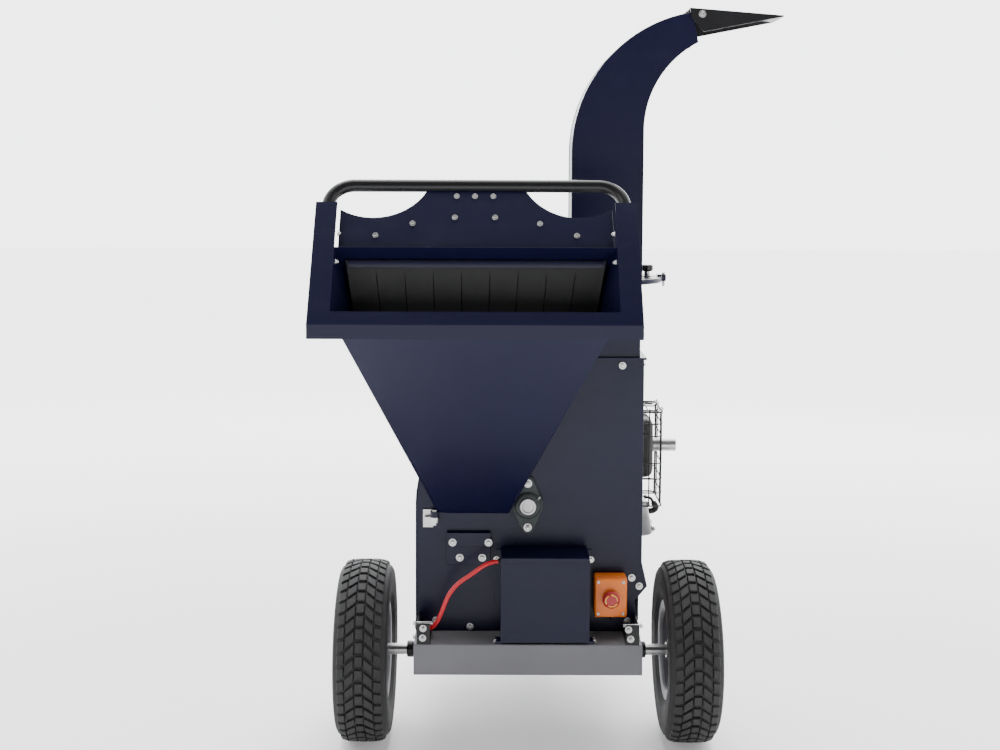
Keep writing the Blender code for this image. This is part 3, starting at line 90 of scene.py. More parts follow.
class Material:
    # one Principled material, whose nodes are made and linked by the methods below
    def __init__(self, name):
        self.data = bpy.data.materials.new(name)
        self.data.use_nodes = True
        self.tree = self.data.node_tree
        self.tree.nodes.clear()
        self.output = self.tree.nodes.new("ShaderNodeOutputMaterial")
        self.shader = self.tree.nodes.new("ShaderNodeBsdfPrincipled")
        self.tree.links.new(self.shader.outputs[0], self.output.inputs[0])
        self.place = self.node("ShaderNodeTexCoord", {}, {}, "Object")

    def feed(self, socket, value):
        if isinstance(value, Value):
            self.tree.links.new(value.socket, socket)
        else:
            socket.default_value = value

    def node(self, kind, settings, inputs, output=0):
        made = self.tree.nodes.new(kind)
        for name, setting in settings.items():
            if name == "stops":
                ramp = made.color_ramp
                while len(ramp.elements) < len(setting):
                    ramp.elements.new(0.5)
                for stop, (position, level) in zip(ramp.elements, setting):
                    stop.position = position
                    stop.color = (level, level, level, 1.0)
            else:
                setattr(made, name, setting)
        pairs = enumerate(inputs) if isinstance(inputs, list) else inputs.items()
        for key, value in pairs:
            self.feed(made.inputs[key], value)
        return Value(self, made.outputs[output])

    def noise(self, scale, detail=3.0, rough=0.5, stretch=None):
        place = self.place
        if stretch:
            place = self.node("ShaderNodeMapping", {}, {"Vector": place, "Scale": stretch})
        return self.node("ShaderNodeTexNoise", {}, {
            "Vector": place, "Scale": scale, "Detail": detail, "Roughness": rough}, "Fac")

    def ramp(self, value, stops):
        return self.node("ShaderNodeValToRGB", {"stops": stops}, {"Fac": value})

    def mix(self, factor, first, second):
        # of this node's sockets, 0 is the factor and 6, 7 and output 2 are the colours
        first, second = [c if isinstance(c, Value) else (*c, 1.0) for c in (first, second)]
        return self.node("ShaderNodeMix", {"data_type": "RGBA"}, {0: factor, 6: first, 7: second}, 2)

    def bump(self, height, strength, distance, normal=None):
        inputs = {"Height": height, "Strength": strength, "Distance": distance}
        if normal:
            inputs["Normal"] = normal
        return self.node("ShaderNodeBump", {}, inputs, "Normal")

    def finish(self, **values):
        for name, value in values.items():
            key = {"colour": "Base Color", "roughness": "Roughness", "metallic": "Metallic",
                   "coat": "Coat Weight", "coatRoughness": "Coat Roughness", "normal": "Normal",
                   "level": "Specular IOR Level"}[name]
            if name == "colour" and not isinstance(value, Value):
                value = (*value, 1.0)
            self.feed(self.shader.inputs[key], value)
        return self.data


def powderCoat(name, colour, dusty, look):
    # sprayed and baked paint: orange peel, handling marks, a film of dust on what faces up
    made = Material(name)
    clouds = made.noise(look["cloudScale"], 4.0)
    peel = made.noise(look["peelScale"], 2.0, 0.4)
    marks = made.ramp(made.noise(9.0, 8.0, 0.7, (1.0, 1.0, 3.0)), [(0.52, 0.0), (0.74, 1.0)])
    facing = made.node("ShaderNodeTexCoord", {}, {}, "Normal")
    upward = made.node("ShaderNodeSeparateXYZ", {}, [facing], "Z")
    dust = made.ramp(upward, [(0.55, 0.0), (1.0, 1.0)]) * clouds * look["dust"]
    base = made.mix(clouds, tuple(c * 0.82 for c in colour), tuple(min(1.0, c * 1.18) for c in colour))
    shade = made.mix(dust, base, dusty)
    rough = look["roughness"] + marks * look["markRoughness"] + dust * 0.5
    return made.finish(colour=shade, roughness=rough, normal=made.bump(peel, look["peel"], 0.0006),
                       coat=look["coat"], coatRoughness=0.08, level=look["level"])


def moulded(name, colour, look):
    # injection-moulded plastic or moulded rubber with a fine spark texture
    made = Material(name)
    grain = made.noise(look["grainScale"], 2.0, 0.6)
    worn = made.ramp(made.noise(14.0, 6.0, 0.65), [(0.45, 0.0), (0.75, 1.0)])
    shade = made.mix(worn * look["fade"], colour, look["faded"])
    rough = look["roughness"] + worn * 0.12
    return made.finish(colour=shade, roughness=rough, normal=made.bump(grain, look["grain"], 0.0005))


def bareMetal(name, colour, look):
    # plated, ground or cast metal: fine lines or grain, with duller and darker patches
    made = Material(name)
    lines = made.noise(look["lineScale"], 3.0, 0.55, look["stretch"])
    patches = made.ramp(made.noise(look["patchScale"], 5.0, 0.6), [(0.35, 0.0), (0.8, 1.0)])
    shade = made.mix(patches, colour, look["stain"])
    rough = look["roughness"] + patches * 0.16 + lines * 0.08
    return made.finish(colour=shade, roughness=rough, metallic=look["metallic"],
                       normal=made.bump(lines, look["bump"], 0.0004))


coatLook = {"cloudScale": 5.0, "peelScale": 420.0, "peel": 0.10, "roughness": 0.34,
            "markRoughness": 0.07, "dust": 0.04, "coat": 0.05, "level": 0.22}
satinLook = dict(coatLook, roughness=0.42, coat=0.1, dust=0.12, peel=0.16, markRoughness=0.18)
blackLook = dict(coatLook, roughness=0.34, coat=0.15, dust=0.06)
plasticLook = {"grainScale": 1400.0, "grain": 0.25, "roughness": 0.50, "fade": 0.35,
               "faded": (0.035, 0.035, 0.036)}
rubberLook = {"grainScale": 700.0, "grain": 0.35, "roughness": 0.74, "fade": 0.6,
              "faded": (0.055, 0.054, 0.052)}
zincLook = {"lineScale": 60.0, "stretch": (1.0, 1.0, 6.0), "patchScale": 60.0, "stain": (0.50, 0.49, 0.46),
            "roughness": 0.24, "metallic": 1.0, "bump": 0.12}
steelLook = dict(zincLook, patchScale=20.0, stain=(0.30, 0.28, 0.26), roughness=0.34)
castLook = {"lineScale": 240.0, "stretch": (1.0, 1.0, 1.0), "patchScale": 16.0, "stain": (0.30, 0.30, 0.30),
            "roughness": 0.42, "metallic": 0.9, "bump": 0.5}
ironLook = dict(castLook, stain=(0.03, 0.035, 0.035), metallic=0.35, roughness=0.50)

navy = powderCoat("navyPowderCoat", (0.0034, 0.0038, 0.022), (0.05, 0.05, 0.07), coatLook)
grey = powderCoat("greyPowderCoat", (0.165, 0.165, 0.180), (0.34, 0.33, 0.32), satinLook)
black = powderCoat("blackPowderCoat", (0.010, 0.010, 0.011), (0.10, 0.10, 0.10), blackLook)
heatBlack = moulded("exhaustBlack", (0.016, 0.015, 0.015),
                    dict(rubberLook, roughness=0.55, faded=(0.05, 0.04, 0.035)))
tyreRubber = moulded("tyreRubber", (0.022, 0.022, 0.023), rubberLook)
# black sheet rubber, set darker than the rubber itself so that the feed curtain sinks into the shade inside
# the hopper mouth: partly the rubber's own colour, partly painted shade
sheetRubberWithPaintedShade = moulded("sheetRubberWithPaintedShade", (0.006, 0.006, 0.007),
                      dict(rubberLook, roughness=0.66, fade=0.3, faded=(0.016, 0.016, 0.016)))
plastic = moulded("blackPlastic", (0.016, 0.016, 0.017), plasticLook)
orange = moulded("orangePlastic", (0.80, 0.17, 0.010),
                 dict(plasticLook, roughness=0.36, fade=0.2, faded=(0.88, 0.26, 0.03)))
red = moulded("redPlastic", (0.36, 0.008, 0.018),
              dict(plasticLook, roughness=0.26, fade=0.2, faded=(0.50, 0.02, 0.03)))
cableRed = moulded("redCable", (0.56, 0.014, 0.022),
                   dict(plasticLook, roughness=0.38, grain=0.1, fade=0.3, faded=(0.42, 0.02, 0.03)))
arrowYellow = moulded("arrowYellow", (0.85, 0.45, 0.03),
                      dict(plasticLook, roughness=0.4, faded=(0.8, 0.5, 0.1)))
zinc = bareMetal("brightZinc", (0.52, 0.52, 0.53), zincLook)
steel = bareMetal("groundSteel", (0.46, 0.46, 0.47), steelLook)
aluminium = bareMetal("castAluminium", (0.56, 0.56, 0.57), castLook)
iron = bareMetal("castIron", (0.045, 0.052, 0.055), ironLook)
print("materials made")

slotFinish = {"navy_paint": navy, "grey_paint": grey, "black_paint": black, "rubber": sheetRubberWithPaintedShade,
              "tyre_rubber": tyreRubber, "zinc_steel": zinc, "ground_steel": steel, "cast_iron": iron,
              "cast_aluminium": aluminium, "red_plastic": red, "orange_plastic": orange,
              "black_plastic": plastic}
for part in frame["record"]["subparts"]:
    mesh = nodes[part["node"]].data
    mesh.materials.clear()
    mesh.materials.append(slotFinish[part["material_slot"]])
for name in ("muffler", "muffler_guard"):
    nodes[name].data.materials[0] = heatBlack
nodes["starter_cable"].data.materials[0] = cableRed


boltScale = 0.86


def bake(made):
    # the object keeps the mesh that its modifiers give
    graph = bpy.context.evaluated_depsgraph_get()
    baked = bpy.data.meshes.new_from_object(made.evaluated_get(graph))
    made.modifiers.clear()
    made.data = baked


def bevelEdges(made, width, angle):
    # rounds every edge sharper than the angle
    rounding = made.modifiers.new("round", "BEVEL")
    rounding.width = width
    rounding.segments = 2
    rounding.limit_method = "ANGLE"
    rounding.angle_limit = math.radians(angle)
    bake(made)


def flatten(made, angle, weighted=True):
    # smooth shading that keeps large faces flat between their rounded edges
    made.data.shade_smooth()
    made.data.set_sharp_from_angle(angle=math.radians(angle))
    if weighted:
        even = made.modifiers.new("even", "WEIGHTED_NORMAL")
        even.keep_sharp = True
        even.weight = 80
        bake(made)


class Shape:
    # one piece built up in a bmesh, in machine coordinates
    def __init__(self):
        self.mesh = bmesh.new()

    def skin(self, rings, capped=False):
        # quads between neighbouring rings of equal length, and the two ends when capped
        for first, second in zip(rings, rings[1:]):
            for i in range(len(first)):
                j = (i + 1) % len(first)
                self.mesh.faces.new((first[i], first[j], second[j], second[i]))
        if capped:
            self.mesh.faces.new(rings[0])
            self.mesh.faces.new(rings[-1])

    def box(self, low, high, bevel=0.0):
        low, high = Vector(low), Vector(high)
        verts = bmesh.ops.create_cube(self.mesh, size=1.0)["verts"]
        bmesh.ops.scale(self.mesh, vec=high - low, verts=verts)
        bmesh.ops.translate(self.mesh, vec=(low + high) / 2, verts=verts)
        if bevel:
            edges = list({edge for vert in verts for edge in vert.link_edges})
            bmesh.ops.bevel(self.mesh, geom=edges, offset=bevel, segments=3, profile=0.5, affect="EDGES")

    def lathe(self, profile, place, axis, steps=64, closed=False):
        # profile of (radius, height); radius 0 at an end closes the piece
        rings = []
        for radius, height in profile:
            if radius < 1e-6:
                rings.append([self.mesh.verts.new((0, 0, height))])
            else:
                rings.append([self.mesh.verts.new((radius * math.cos(2 * math.pi * i / steps),
                                                   radius * math.sin(2 * math.pi * i / steps), height))
                              for i in range(steps)])
        pairs = list(zip(rings, rings[1:]))
        if closed:
            pairs.append((rings[-1], rings[0]))
        for upper, lower in pairs:
            for i in range(steps):
                j = (i + 1) % steps
                corners = [upper[i % len(upper)], upper[j % len(upper)], lower[j % len(lower)],
                           lower[i % len(lower)]]
                unique = list(dict.fromkeys(corners))
                if len(unique) > 2:
                    self.mesh.faces.new(unique)
        turn = Vector((0, 0, 1)).rotation_difference(Vector(axis)).to_matrix().to_4x4()
        verts = [v for ring in rings for v in ring]
        bmesh.ops.transform(self.mesh, matrix=Matrix.Translation(Vector(place)) @ turn, verts=verts)

    def rod(self, start, end, radius, steps=32, bevel=0.0):
        start, end = Vector(start), Vector(end)
        length = (end - start).length
        profile = [(0, length), (radius - bevel, length), (radius, length - bevel), (radius, bevel),
                   (radius - bevel, 0), (0, 0)]
        if not bevel:
            profile = [(0, length), (radius, length), (radius, 0), (0, 0)]
        self.lathe(profile, start, end - start, steps)

    def prism(self, outline, low, high, along="Y"):
        # an outline in X and Z (along Y), Y and Z (along X) or X and Y (along Z)
        sides = []
        for depth in (low, high):
            ring = []
            for a, b in outline:
                place = {"X": (depth, a, b), "Y": (a, depth, b), "Z": (a, b, depth)}[along]
                ring.append(self.mesh.verts.new(place))
            sides.append(ring)
            self.mesh.faces.new(ring)
        self.skin(sides)

    def hexBolt(self, place, axis, size=0.0065, washer=1.75, height=0.8, stub=0.0):
        # hexagon head with a chamfered crown on a washer; with a stub it is a nut on its stud
        axis = Vector(axis).normalized()
        place = Vector(place)
        size = size * boltScale
        self.lathe([(0, size * 0.26), (size * washer * 0.96, size * 0.26), (size * washer, size * 0.18),
                    (size * washer, 0), (0, 0)], place, axis, 24)
        base = place + axis * size * 0.26
        tall = size * height * 1.3
        self.lathe([(0, tall), (size * 0.86, tall), (size * 1.04, tall * 0.86), (size * 1.04, 0), (0, 0)],
                   base, axis, 6)
        if stub:
            self.lathe([(0, tall + stub), (size * 0.45, tall + stub), (size * 0.55, tall + stub * 0.8),
                        (size * 0.55, tall * 0.5), (0, tall * 0.5)], base, axis, 16)

    def tube(self, route, radius, steps=16):
        # a round bar along a route, with its rings turned as little as possible
        points = [Vector(point) for point in route]
        rings = []
        side = None
        for i, point in enumerate(points):
            along = (points[min(i + 1, len(points) - 1)] - points[max(i - 1, 0)]).normalized()
            if side is None:
                side = along.orthogonal().normalized()
            side = (side - along * side.dot(along)).normalized()
            up = along.cross(side)
            rings.append([self.mesh.verts.new(point + (side * math.cos(2 * math.pi * k / steps)
                                                       + up * math.sin(2 * math.pi * k / steps)) * radius)
                          for k in range(steps)])
        self.skin(rings, capped=True)

    def piece(self, name, finish, body, stands=(), angle=35.0, bevel=0.0):
        bmesh.ops.recalc_face_normals(self.mesh, faces=self.mesh.faces)
        bmesh.ops.translate(self.mesh, vec=datum, verts=self.mesh.verts)
        mesh = bpy.data.meshes.new(name)
        self.mesh.to_mesh(mesh)
        self.mesh.free()
        made = bpy.data.objects.new(name, mesh)
        bpy.context.scene.collection.objects.link(made)
        mesh.materials.append(finish)
        if bevel:
            bevelEdges(made, bevel, 40)
        flatten(made, angle, bevel > 0)
        if stands:
            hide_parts(*stands)
        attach(made, body)
        return made


def arcPoints(centre, radius, start, end, steps):
    angles = [math.radians(start + (end - start) * i / steps) for i in range(steps + 1)]
    return [(centre[0] + radius * math.cos(a), centre[1] + radius * math.sin(a)) for a in angles]


def smoothRoute(points, spacing):
    points = [Vector(point) for point in points]
    ends = [2 * points[0] - points[1], *points, 2 * points[-1] - points[-2]]
    route = [points[0]]
    for a, b, c, d in zip(ends, ends[1:], ends[2:], ends[3:]):
        count = max(2, round((c - b).length / spacing))
        for i in range(1, count + 1):
            t = i / count
            route.append(0.5 * (2 * b + (c - a) * t + (2 * a - 5 * b + 4 * c - d) * t * t
                                + (3 * b - a - 3 * c + d) * t ** 3))
    return route


view = {"place": (-0.0797, -3.0536, 1.2934), "lens": 49.16, "down": 4.73, "roll": 0.2, "shiftX": 0.0073,
        "shiftY": -0.09}
# a dark room in front and a white wall behind, and the strength of the floor's painted glow
studio = {"front": 0.05, "back": 4.4, "darkFrom": -0.05, "brightFrom": 0.55, "paintedFloorGlow": 2.2}
lights = [
    {"name": "keySoftbox", "place": (-2.6, -1.4, 3.2), "aim": (0, 0, 0.7), "size": 2.6, "power": 60},
    {"name": "fillSoftbox", "place": (2.8, -1.6, 2.4), "aim": (0, 0, 0.7), "size": 2.2, "power": 36},
    {"name": "topSoftbox", "place": (0.0, 0.6, 3.8), "aim": (0, 0, 0.5), "size": 3.0, "power": 120},
    {"name": "backSoftbox", "place": (0.6, 3.4, 2.6), "aim": (0, 0, 0.8), "size": 2.4, "power": 90},
]


def makeCamera():
    camera = bpy.data.objects.new("camera", bpy.data.cameras.new("camera"))
    bpy.context.scene.collection.objects.link(camera)
    camera.data.lens = view["lens"]
    camera.data.sensor_width = 36.0
    camera.data.shift_x = view["shiftX"]
    camera.data.shift_y = view["shiftY"]
    camera.data.clip_end = 60.0
    turn = Matrix.Rotation(math.radians(90 - view["down"]), 4,
                           "X") @ Matrix.Rotation(math.radians(view["roll"]), 4, "Z")
    camera.matrix_world = Matrix.Translation(at(*view["place"])) @ turn
    bpy.context.scene.camera = camera


def makeStudio():
    for light in lights:
        lamp = bpy.data.lights.new(light["name"], "AREA")
        lamp.size = light["size"]
        lamp.energy = light["power"]
        made = bpy.data.objects.new(light["name"], lamp)
        bpy.context.scene.collection.objects.link(made)
        place = at(*light["place"])
        turn = (at(*light["aim"]) - place).to_track_quat("-Z", "Y")
        made.matrix_world = Matrix.Translation(place) @ turn.to_matrix().to_4x4()
    world = bpy.data.worlds.new("studio")
    world.use_nodes = True
    tree = world.node_tree
    sky = tree.nodes["Background"]
    direction = tree.nodes.new("ShaderNodeTexCoord")
    parts = tree.nodes.new("ShaderNodeSeparateXYZ")
    tree.links.new(direction.outputs["Generated"], parts.inputs[0])
    fade = tree.nodes.new("ShaderNodeMapRange")
    fade.inputs["From Min"].default_value = studio["darkFrom"]
    fade.inputs["From Max"].default_value = studio["brightFrom"]
    fade.inputs["To Min"].default_value = studio["front"]
    fade.inputs["To Max"].default_value = studio["back"]
    tree.links.new(parts.outputs["Y"], fade.inputs["Value"])
    sky.inputs[0].default_value = (0.97, 0.98, 1.0, 1.0)
    tree.links.new(fade.outputs["Result"], sky.inputs[1])
    bpy.context.scene.world = world
    bpy.ops.mesh.primitive_plane_add(size=40.0, location=at(0, 0, -0.0006))
    floor = bpy.context.active_object
    floor.name = "floor"
    pale = Material("paleFloor")
    tone = pale.noise(0.8, 2.0)
    # painted light: the floor glows, dim near the machine so that its real shadows show, rising to white
    # far off so that the floor meets the bright wall
    away = pale.node("ShaderNodeVectorMath", {"operation": "LENGTH"}, [pale.place], "Value")
    paintedFloorGlow = pale.node("ShaderNodeMapRange", {"interpolation_type": "SMOOTHSTEP"},
                     {"Value": away, "From Min": 0.7, "From Max": 4.5, "To Min": 0.0, "To Max": 1.0})
    pale.shader.inputs["Emission Strength"].default_value = studio["paintedFloorGlow"]
    pale.feed(pale.shader.inputs["Emission Color"], pale.mix(paintedFloorGlow, (0.12, 0.12, 0.12), (1.0, 1.0, 1.0)))
    floor.data.materials.append(pale.finish(colour=pale.mix(tone, (0.86, 0.86, 0.86), (0.90, 0.90, 0.90)),
                                            roughness=0.55))


makeCamera()
makeStudio()
print("camera and studio made")


tyre = {"radius": 0.203, "half": 0.0595, "treadHalf": 0.048, "blockHeight": 0.0062, "pitches": 44,
        "columns": ((-0.0400, 0.0150, 0.16, 0.5), (-0.0205, 0.0185, 0.52, 0.0), (0.0, 0.0165, 0.0, 0.42),
                    (0.0205, 0.0185, -0.52, 0.0), (0.0400, 0.0150, -0.16, 0.5)),
        "blockChamfer": 0.0010, "sideRibs": ((0.180, 0.0012), (0.152, 0.0), (0.126, 0.0036)), "steps": 120}
wheelX = 0.366
axleZ = 0.203


def crown(v):
    # tread radius at a distance v from the middle
    wide = tyre["treadHalf"]
    shoulder = max(0.0, abs(v) / wide - 0.82)
    return tyre["radius"] - 0.0022 * (v / wide) ** 2 - 0.004 * shoulder / 0.18


def tyreProfile():
    deep = tyre["blockHeight"]
    across = [i / 10 for i in range(-10, 11)]
    tread = [(crown(k * tyre["treadHalf"]) - deep, -k * tyre["treadHalf"]) for k in across]
    half = tyre["half"]
    side = [(0.186, half - 0.0045), (0.179, half - 0.0015), (0.168, half), (0.158, half), (0.1565, half),
            (0.146, half - 0.0008), (0.134, half - 0.0022), (0.124, half - 0.0050),
            (0.116, half - 0.0102), (0.1125, 0.0462),
            (0.1022, 0.0460), (0.1022, 0.036), (0.112, 0.035), (0.130, half - 0.012),
            (0.160, half - 0.010), (0.180, 0.040)]
    right = [(r, -x) for r, x in side]
    left = [(r, x) for r, x in reversed(side)]
    return tread + right + left


def treadBlock(shape, u, v, length, width, skew, place):
    # one block: u along the circumference, v across, its top following the crown
    deep = tyre["blockHeight"] + 0.0015
    chamfer = tyre["blockChamfer"]
    levels = []
    for inset, drop in ((-0.0006, deep), (0.0, chamfer), (chamfer, 0.0)):
        ring = []
        for a, b in ((-1, -1), (1, -1), (1, 1), (-1, 1)):
            across = v + b * (width / 2 - inset)
            around = u + a * (length / 2 - inset) + b * skew / 2
            radius = crown(across) - drop
            angle = around / tyre["radius"]
            ring.append(shape.mesh.verts.new((place + across, radius * math.sin(angle),
                                              axleZ + radius * math.cos(angle))))
        levels.append(ring)
    shape.mesh.faces.new(levels[0])
    shape.mesh.faces.new(levels[2])
    shape.skin(levels)


def makeTyre(side, name):
    shape = Shape()
    place = side * wheelX
    shape.lathe(tyreProfile(), (place, 0, axleZ), (1, 0, 0), tyre["steps"], closed=True)
    pitch = 2 * math.pi * tyre["radius"] / tyre["pitches"]
    for i in range(tyre["pitches"]):
        for v, width, skew, shift in tyre["columns"]:
            treadBlock(shape, (i + shift) * pitch, v, pitch * 0.70, width, skew * pitch, place)
    for radius, sunk in tyre["sideRibs"]:
        profile = [(radius + 0.0009, 0.0), (radius, 0.0006), (radius - 0.0009, 0.0), (radius, -0.0012)]
        for hand in (-1, 1):
            x = place + hand * (tyre["half"] - sunk) - hand * 0.0006
            shape.lathe(profile, (x, 0, axleZ), (hand, 0, 0), tyre["steps"], closed=True)
    shape.piece("tyre" + name.title(), tyreRubber, "wheel_" + name, ["tyre_" + name], 30)


rim = {"radius": 0.1016, "lip": 0.0112, "boltCircle": 0.044, "bolts": 4}


def makeRim(side, name):
    r, lip = rim["radius"], rim["radius"] + rim["lip"] - 0.0012
    shape = Shape()
    profile = [(0.0135, 0.0400), (0.0250, 0.0400), (0.0260, 0.0390), (0.0260, 0.0150), (0.0600, 0.0125),
               (0.0680, 0.0135),
               (0.0820, 0.0215), (0.0880, 0.0225), (0.0905, 0.0240), (0.0915, 0.0420), (0.0960, 0.0470),
               (0.1000, 0.0490),
               (lip - 0.001, 0.0500), (lip, 0.0492), (lip, 0.0478), (lip - 0.001, 0.0470),
               (r + 0.0005, 0.0466),
               (r, 0.0455), (r, 0.0280), (r - 0.006, 0.0190), (r - 0.0065, -0.0180), (r, -0.0270),
               (r, -0.0455),
               (r + 0.0005, -0.0466), (lip - 0.001, -0.0470), (lip, -0.0478), (lip, -0.0492),
               (lip - 0.001, -0.0500),
               (0.1000, -0.0490), (0.0960, -0.0470), (0.0915, -0.0420), (0.0905, 0.0180), (0.0860, 0.0185),
               (0.0810, 0.0175), (0.0670, 0.0095), (0.0600, 0.0085), (0.0260, 0.0085), (0.0260, -0.0390),
               (0.0250, -0.0400), (0.0135, -0.0400)]
    shape.lathe(profile, (side * wheelX, 0, axleZ), (side, 0, 0), 96, closed=True)
    shape.piece("rim" + name.title(), grey, "wheel_" + name, ["rim_" + name], 30)

    bolts = Shape()
    for i in range(rim["bolts"]):
        angle = 2 * math.pi * (i + 0.5) / rim["bolts"]
        place = (side * (wheelX + 0.0132), rim["boltCircle"] * math.cos(angle),
                 axleZ + rim["boltCircle"] * math.sin(angle))
        bolts.hexBolt(place, (side, 0, 0), 0.0075, stub=0.005)
    valve = Vector((side * (wheelX + 0.022), 0.0, axleZ + 0.086))
    bolts.rod(valve, valve + Vector((side * 0.022, 0, 0.002)), 0.0040, 16, 0.0008)
    bolts.rod(valve + Vector((side * 0.022, 0, 0.002)), valve + Vector((side * 0.030, 0, 0.003)), 0.0046,
              16, 0.0010)
    bolts.piece("wheelBolts" + name.title(), zinc, "wheel_" + name)


def makeAxleEnds():
    shape = Shape()
    for side in (-1, 1):
        shape.rod((side * 0.2585, 0, axleZ), (side * 0.2725, 0, axleZ), 0.0185, 40, 0.0015)
        shape.hexBolt((side * 0.4110, 0, axleZ), (side, 0, 0), 0.0120, 1.3, 0.45)
    shape.piece("axleCollars", black, "chassis")


for side, name in ((-1, "left"), (1, "right")):
    makeTyre(side, name)
    makeRim(side, name)
makeAxleEnds()
print("wheels made")


deck = {"half": 0.250, "front": -0.150, "rear": 0.520, "top": 0.266, "low": 0.198, "sheet": 0.004,
        "bend": 0.0035}


def makeDeck():
    # folded pan with rounded bends along the top, cut out for the tow bar and the axle
    shape = Shape()
    top = deck["top"]
    s = deck["sheet"]
    half, front, rear, low = deck["half"], deck["front"], deck["rear"], deck["low"]
    bend = deck["bend"]
    levels = [(0.0, low), (0.0, top - bend), (bend * 0.13, top - bend * 0.5),
              (bend * 0.5, top - bend * 0.13), (bend, top)]
    rings = []
    for inset, z in levels:
        rings.append([shape.mesh.verts.new(place) for place in (
            (-half + inset, front + inset, z), (half - inset, front + inset, z),
            (half - inset, rear - inset, z), (-half + inset, rear - inset, z))])
    inner = [[shape.mesh.verts.new(place) for place in (
        (-half + s, front + s, z), (half - s, front + s, z), (half - s, rear - s, z),
        (-half + s, rear - s, z))]
        for z in (low, top - s)]
    shape.mesh.faces.new(rings[-1])
    shape.mesh.faces.new(inner[-1])
    for walls in (rings, inner, (rings[0], inner[0])):
        shape.skin(walls)
    pan = shape.piece("deckPan", grey, "chassis", ["deck"], 25)
    ways = Shape()
    ways.box((-0.027, rear - 0.02, low - 0.02), (0.027, rear + 0.02, top - s))
    for left, right in ((-0.27, -0.24), (0.24, 0.27)):
        ways.box((left, -0.018, low - 0.02), (right, 0.018, axleZ + 0.018))
    cutter = ways.piece("deckWays", grey, "chassis")
    cut = pan.modifiers.new("ways", "BOOLEAN")
    cut.object = cutter
    cut.operation = "DIFFERENCE"
    bake(pan)
    bpy.data.objects.remove(cutter, do_unlink=True)


def makeDeckFittings():
    bolts = Shape()
    front = deck["front"]
    for x, z in ((-0.2290, 0.3015), (-0.2300, 0.2800), (0.2190, 0.3000), (0.2240, 0.2790)):
        bolts.hexBolt((x, front + 0.0008, z), (0, -1, 0), 0.0052, stub=0.003)
    for side, z in ((-1, 0.3105), (1, 0.3060)):
        bolts.rod((side * 0.2440, front + 0.010, z), (side * 0.2080, front + 0.010, z), 0.0036, 16, 0.0006)
        bolts.hexBolt((side * 0.2455, front + 0.010, z), (side, 0, 0), 0.0050, 1.4)
    for side in (-1, 1):
        for y in (0.05, 0.25, 0.46):
            bolts.hexBolt((side * 0.232, y, deck["top"]), (0, 0, 1), 0.0062)
    for x, y in ((-0.064, 0.205), (0.136, 0.205), (-0.064, 0.310), (0.136, 0.310)):
        bolts.hexBolt((x, y, 0.2845), (0, 0, 1), 0.0080, stub=0.006)
    for side in (-1, 1):
        for y in (-0.034, 0.034):
            bolts.hexBolt((side * 0.2502, y, 0.244), (side, 0, 0), 0.0065)
    bolts.piece("deckBolts", zinc, "chassis")


makeDeck()
makeDeckFittings()
print("deck made")


edgeRounding = {
    "housing_front_plate": 0.0007, "housing_back_plate": 0.0007, "housing_rim": 0.0007,
    "bed_knife_holder": 0.0012,
    "foot_bracket_left": 0.0007, "foot_bracket_right": 0.0007, "battery_box": 0.0009, "tower_neck": 0.0006,
    "hopper": 0.0006, "deflector": 0.0006, "belt_guard": 0.0010, "tow_bar": 0.0012, "stand_clamp": 0.0010,
    "prop_stand": 0.0015, "hinge_lower": 0.0006, "hinge_upper": 0.0006, "battery": 0.0006,
    "bed_knife": 0.0004,
    "rotor_disc": 0.0006, "rotor_shaft": 0.0008, "knife_1": 0.0004, "knife_2": 0.0004,
    "rotor_pulley": 0.0005,
    "engine_pulley": 0.0005, "crankshaft": 0.0008, "drive_belts": 0.0010, "engine_block": 0.0012,
    "cylinder_head": 0.0012, "fan_shroud": 0.0012, "recoil_cover": 0.0012, "recoil_grip": 0.0008,
    "muffler": 0.0010,
    "fuel_tank": 0.0008, "air_cleaner": 0.0008, "carburettor": 0.0008, "starter_motor": 0.0010,
    "switch_box": 0.0008,
    "ignition_key": 0.0003, "throttle_lever": 0.0003, "axle": 0.0012, "axle_sleeve": 0.0012,
}
bodyOf = {node: body for body, held in frame["record"]["behaviour"]["bodies"].items() for node in held}


def roundEdges(name, width):
    # the same solid with the small radius that folding, sawing or casting leaves
    shape = bmesh.new()
    shape.from_mesh(nodes[name].data)
    bmesh.ops.remove_doubles(shape, verts=shape.verts, dist=1e-6)
    bmesh.ops.dissolve_limit(shape, angle_limit=math.radians(0.5), verts=shape.verts, edges=shape.edges)
    mesh = bpy.data.meshes.new(name + "Rounded")
    shape.to_mesh(mesh)
    shape.free()
    made = bpy.data.objects.new(name + "Rounded", mesh)
    bpy.context.scene.collection.objects.link(made)
    bevelEdges(made, width, 34)
    made.data.materials.clear()
    made.data.materials.append(nodes[name].data.materials[0])
    flatten(made, 38)
    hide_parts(name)
    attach(made, bodyOf[name])


for name, width in edgeRounding.items():
    roundEdges(name, width)
print("edges rounded")


housing = {"face": -0.060, "rotorZ": 0.556, "bearingBolts": 0.099, "bearingHalf": 0.034, "radius": 0.2475}


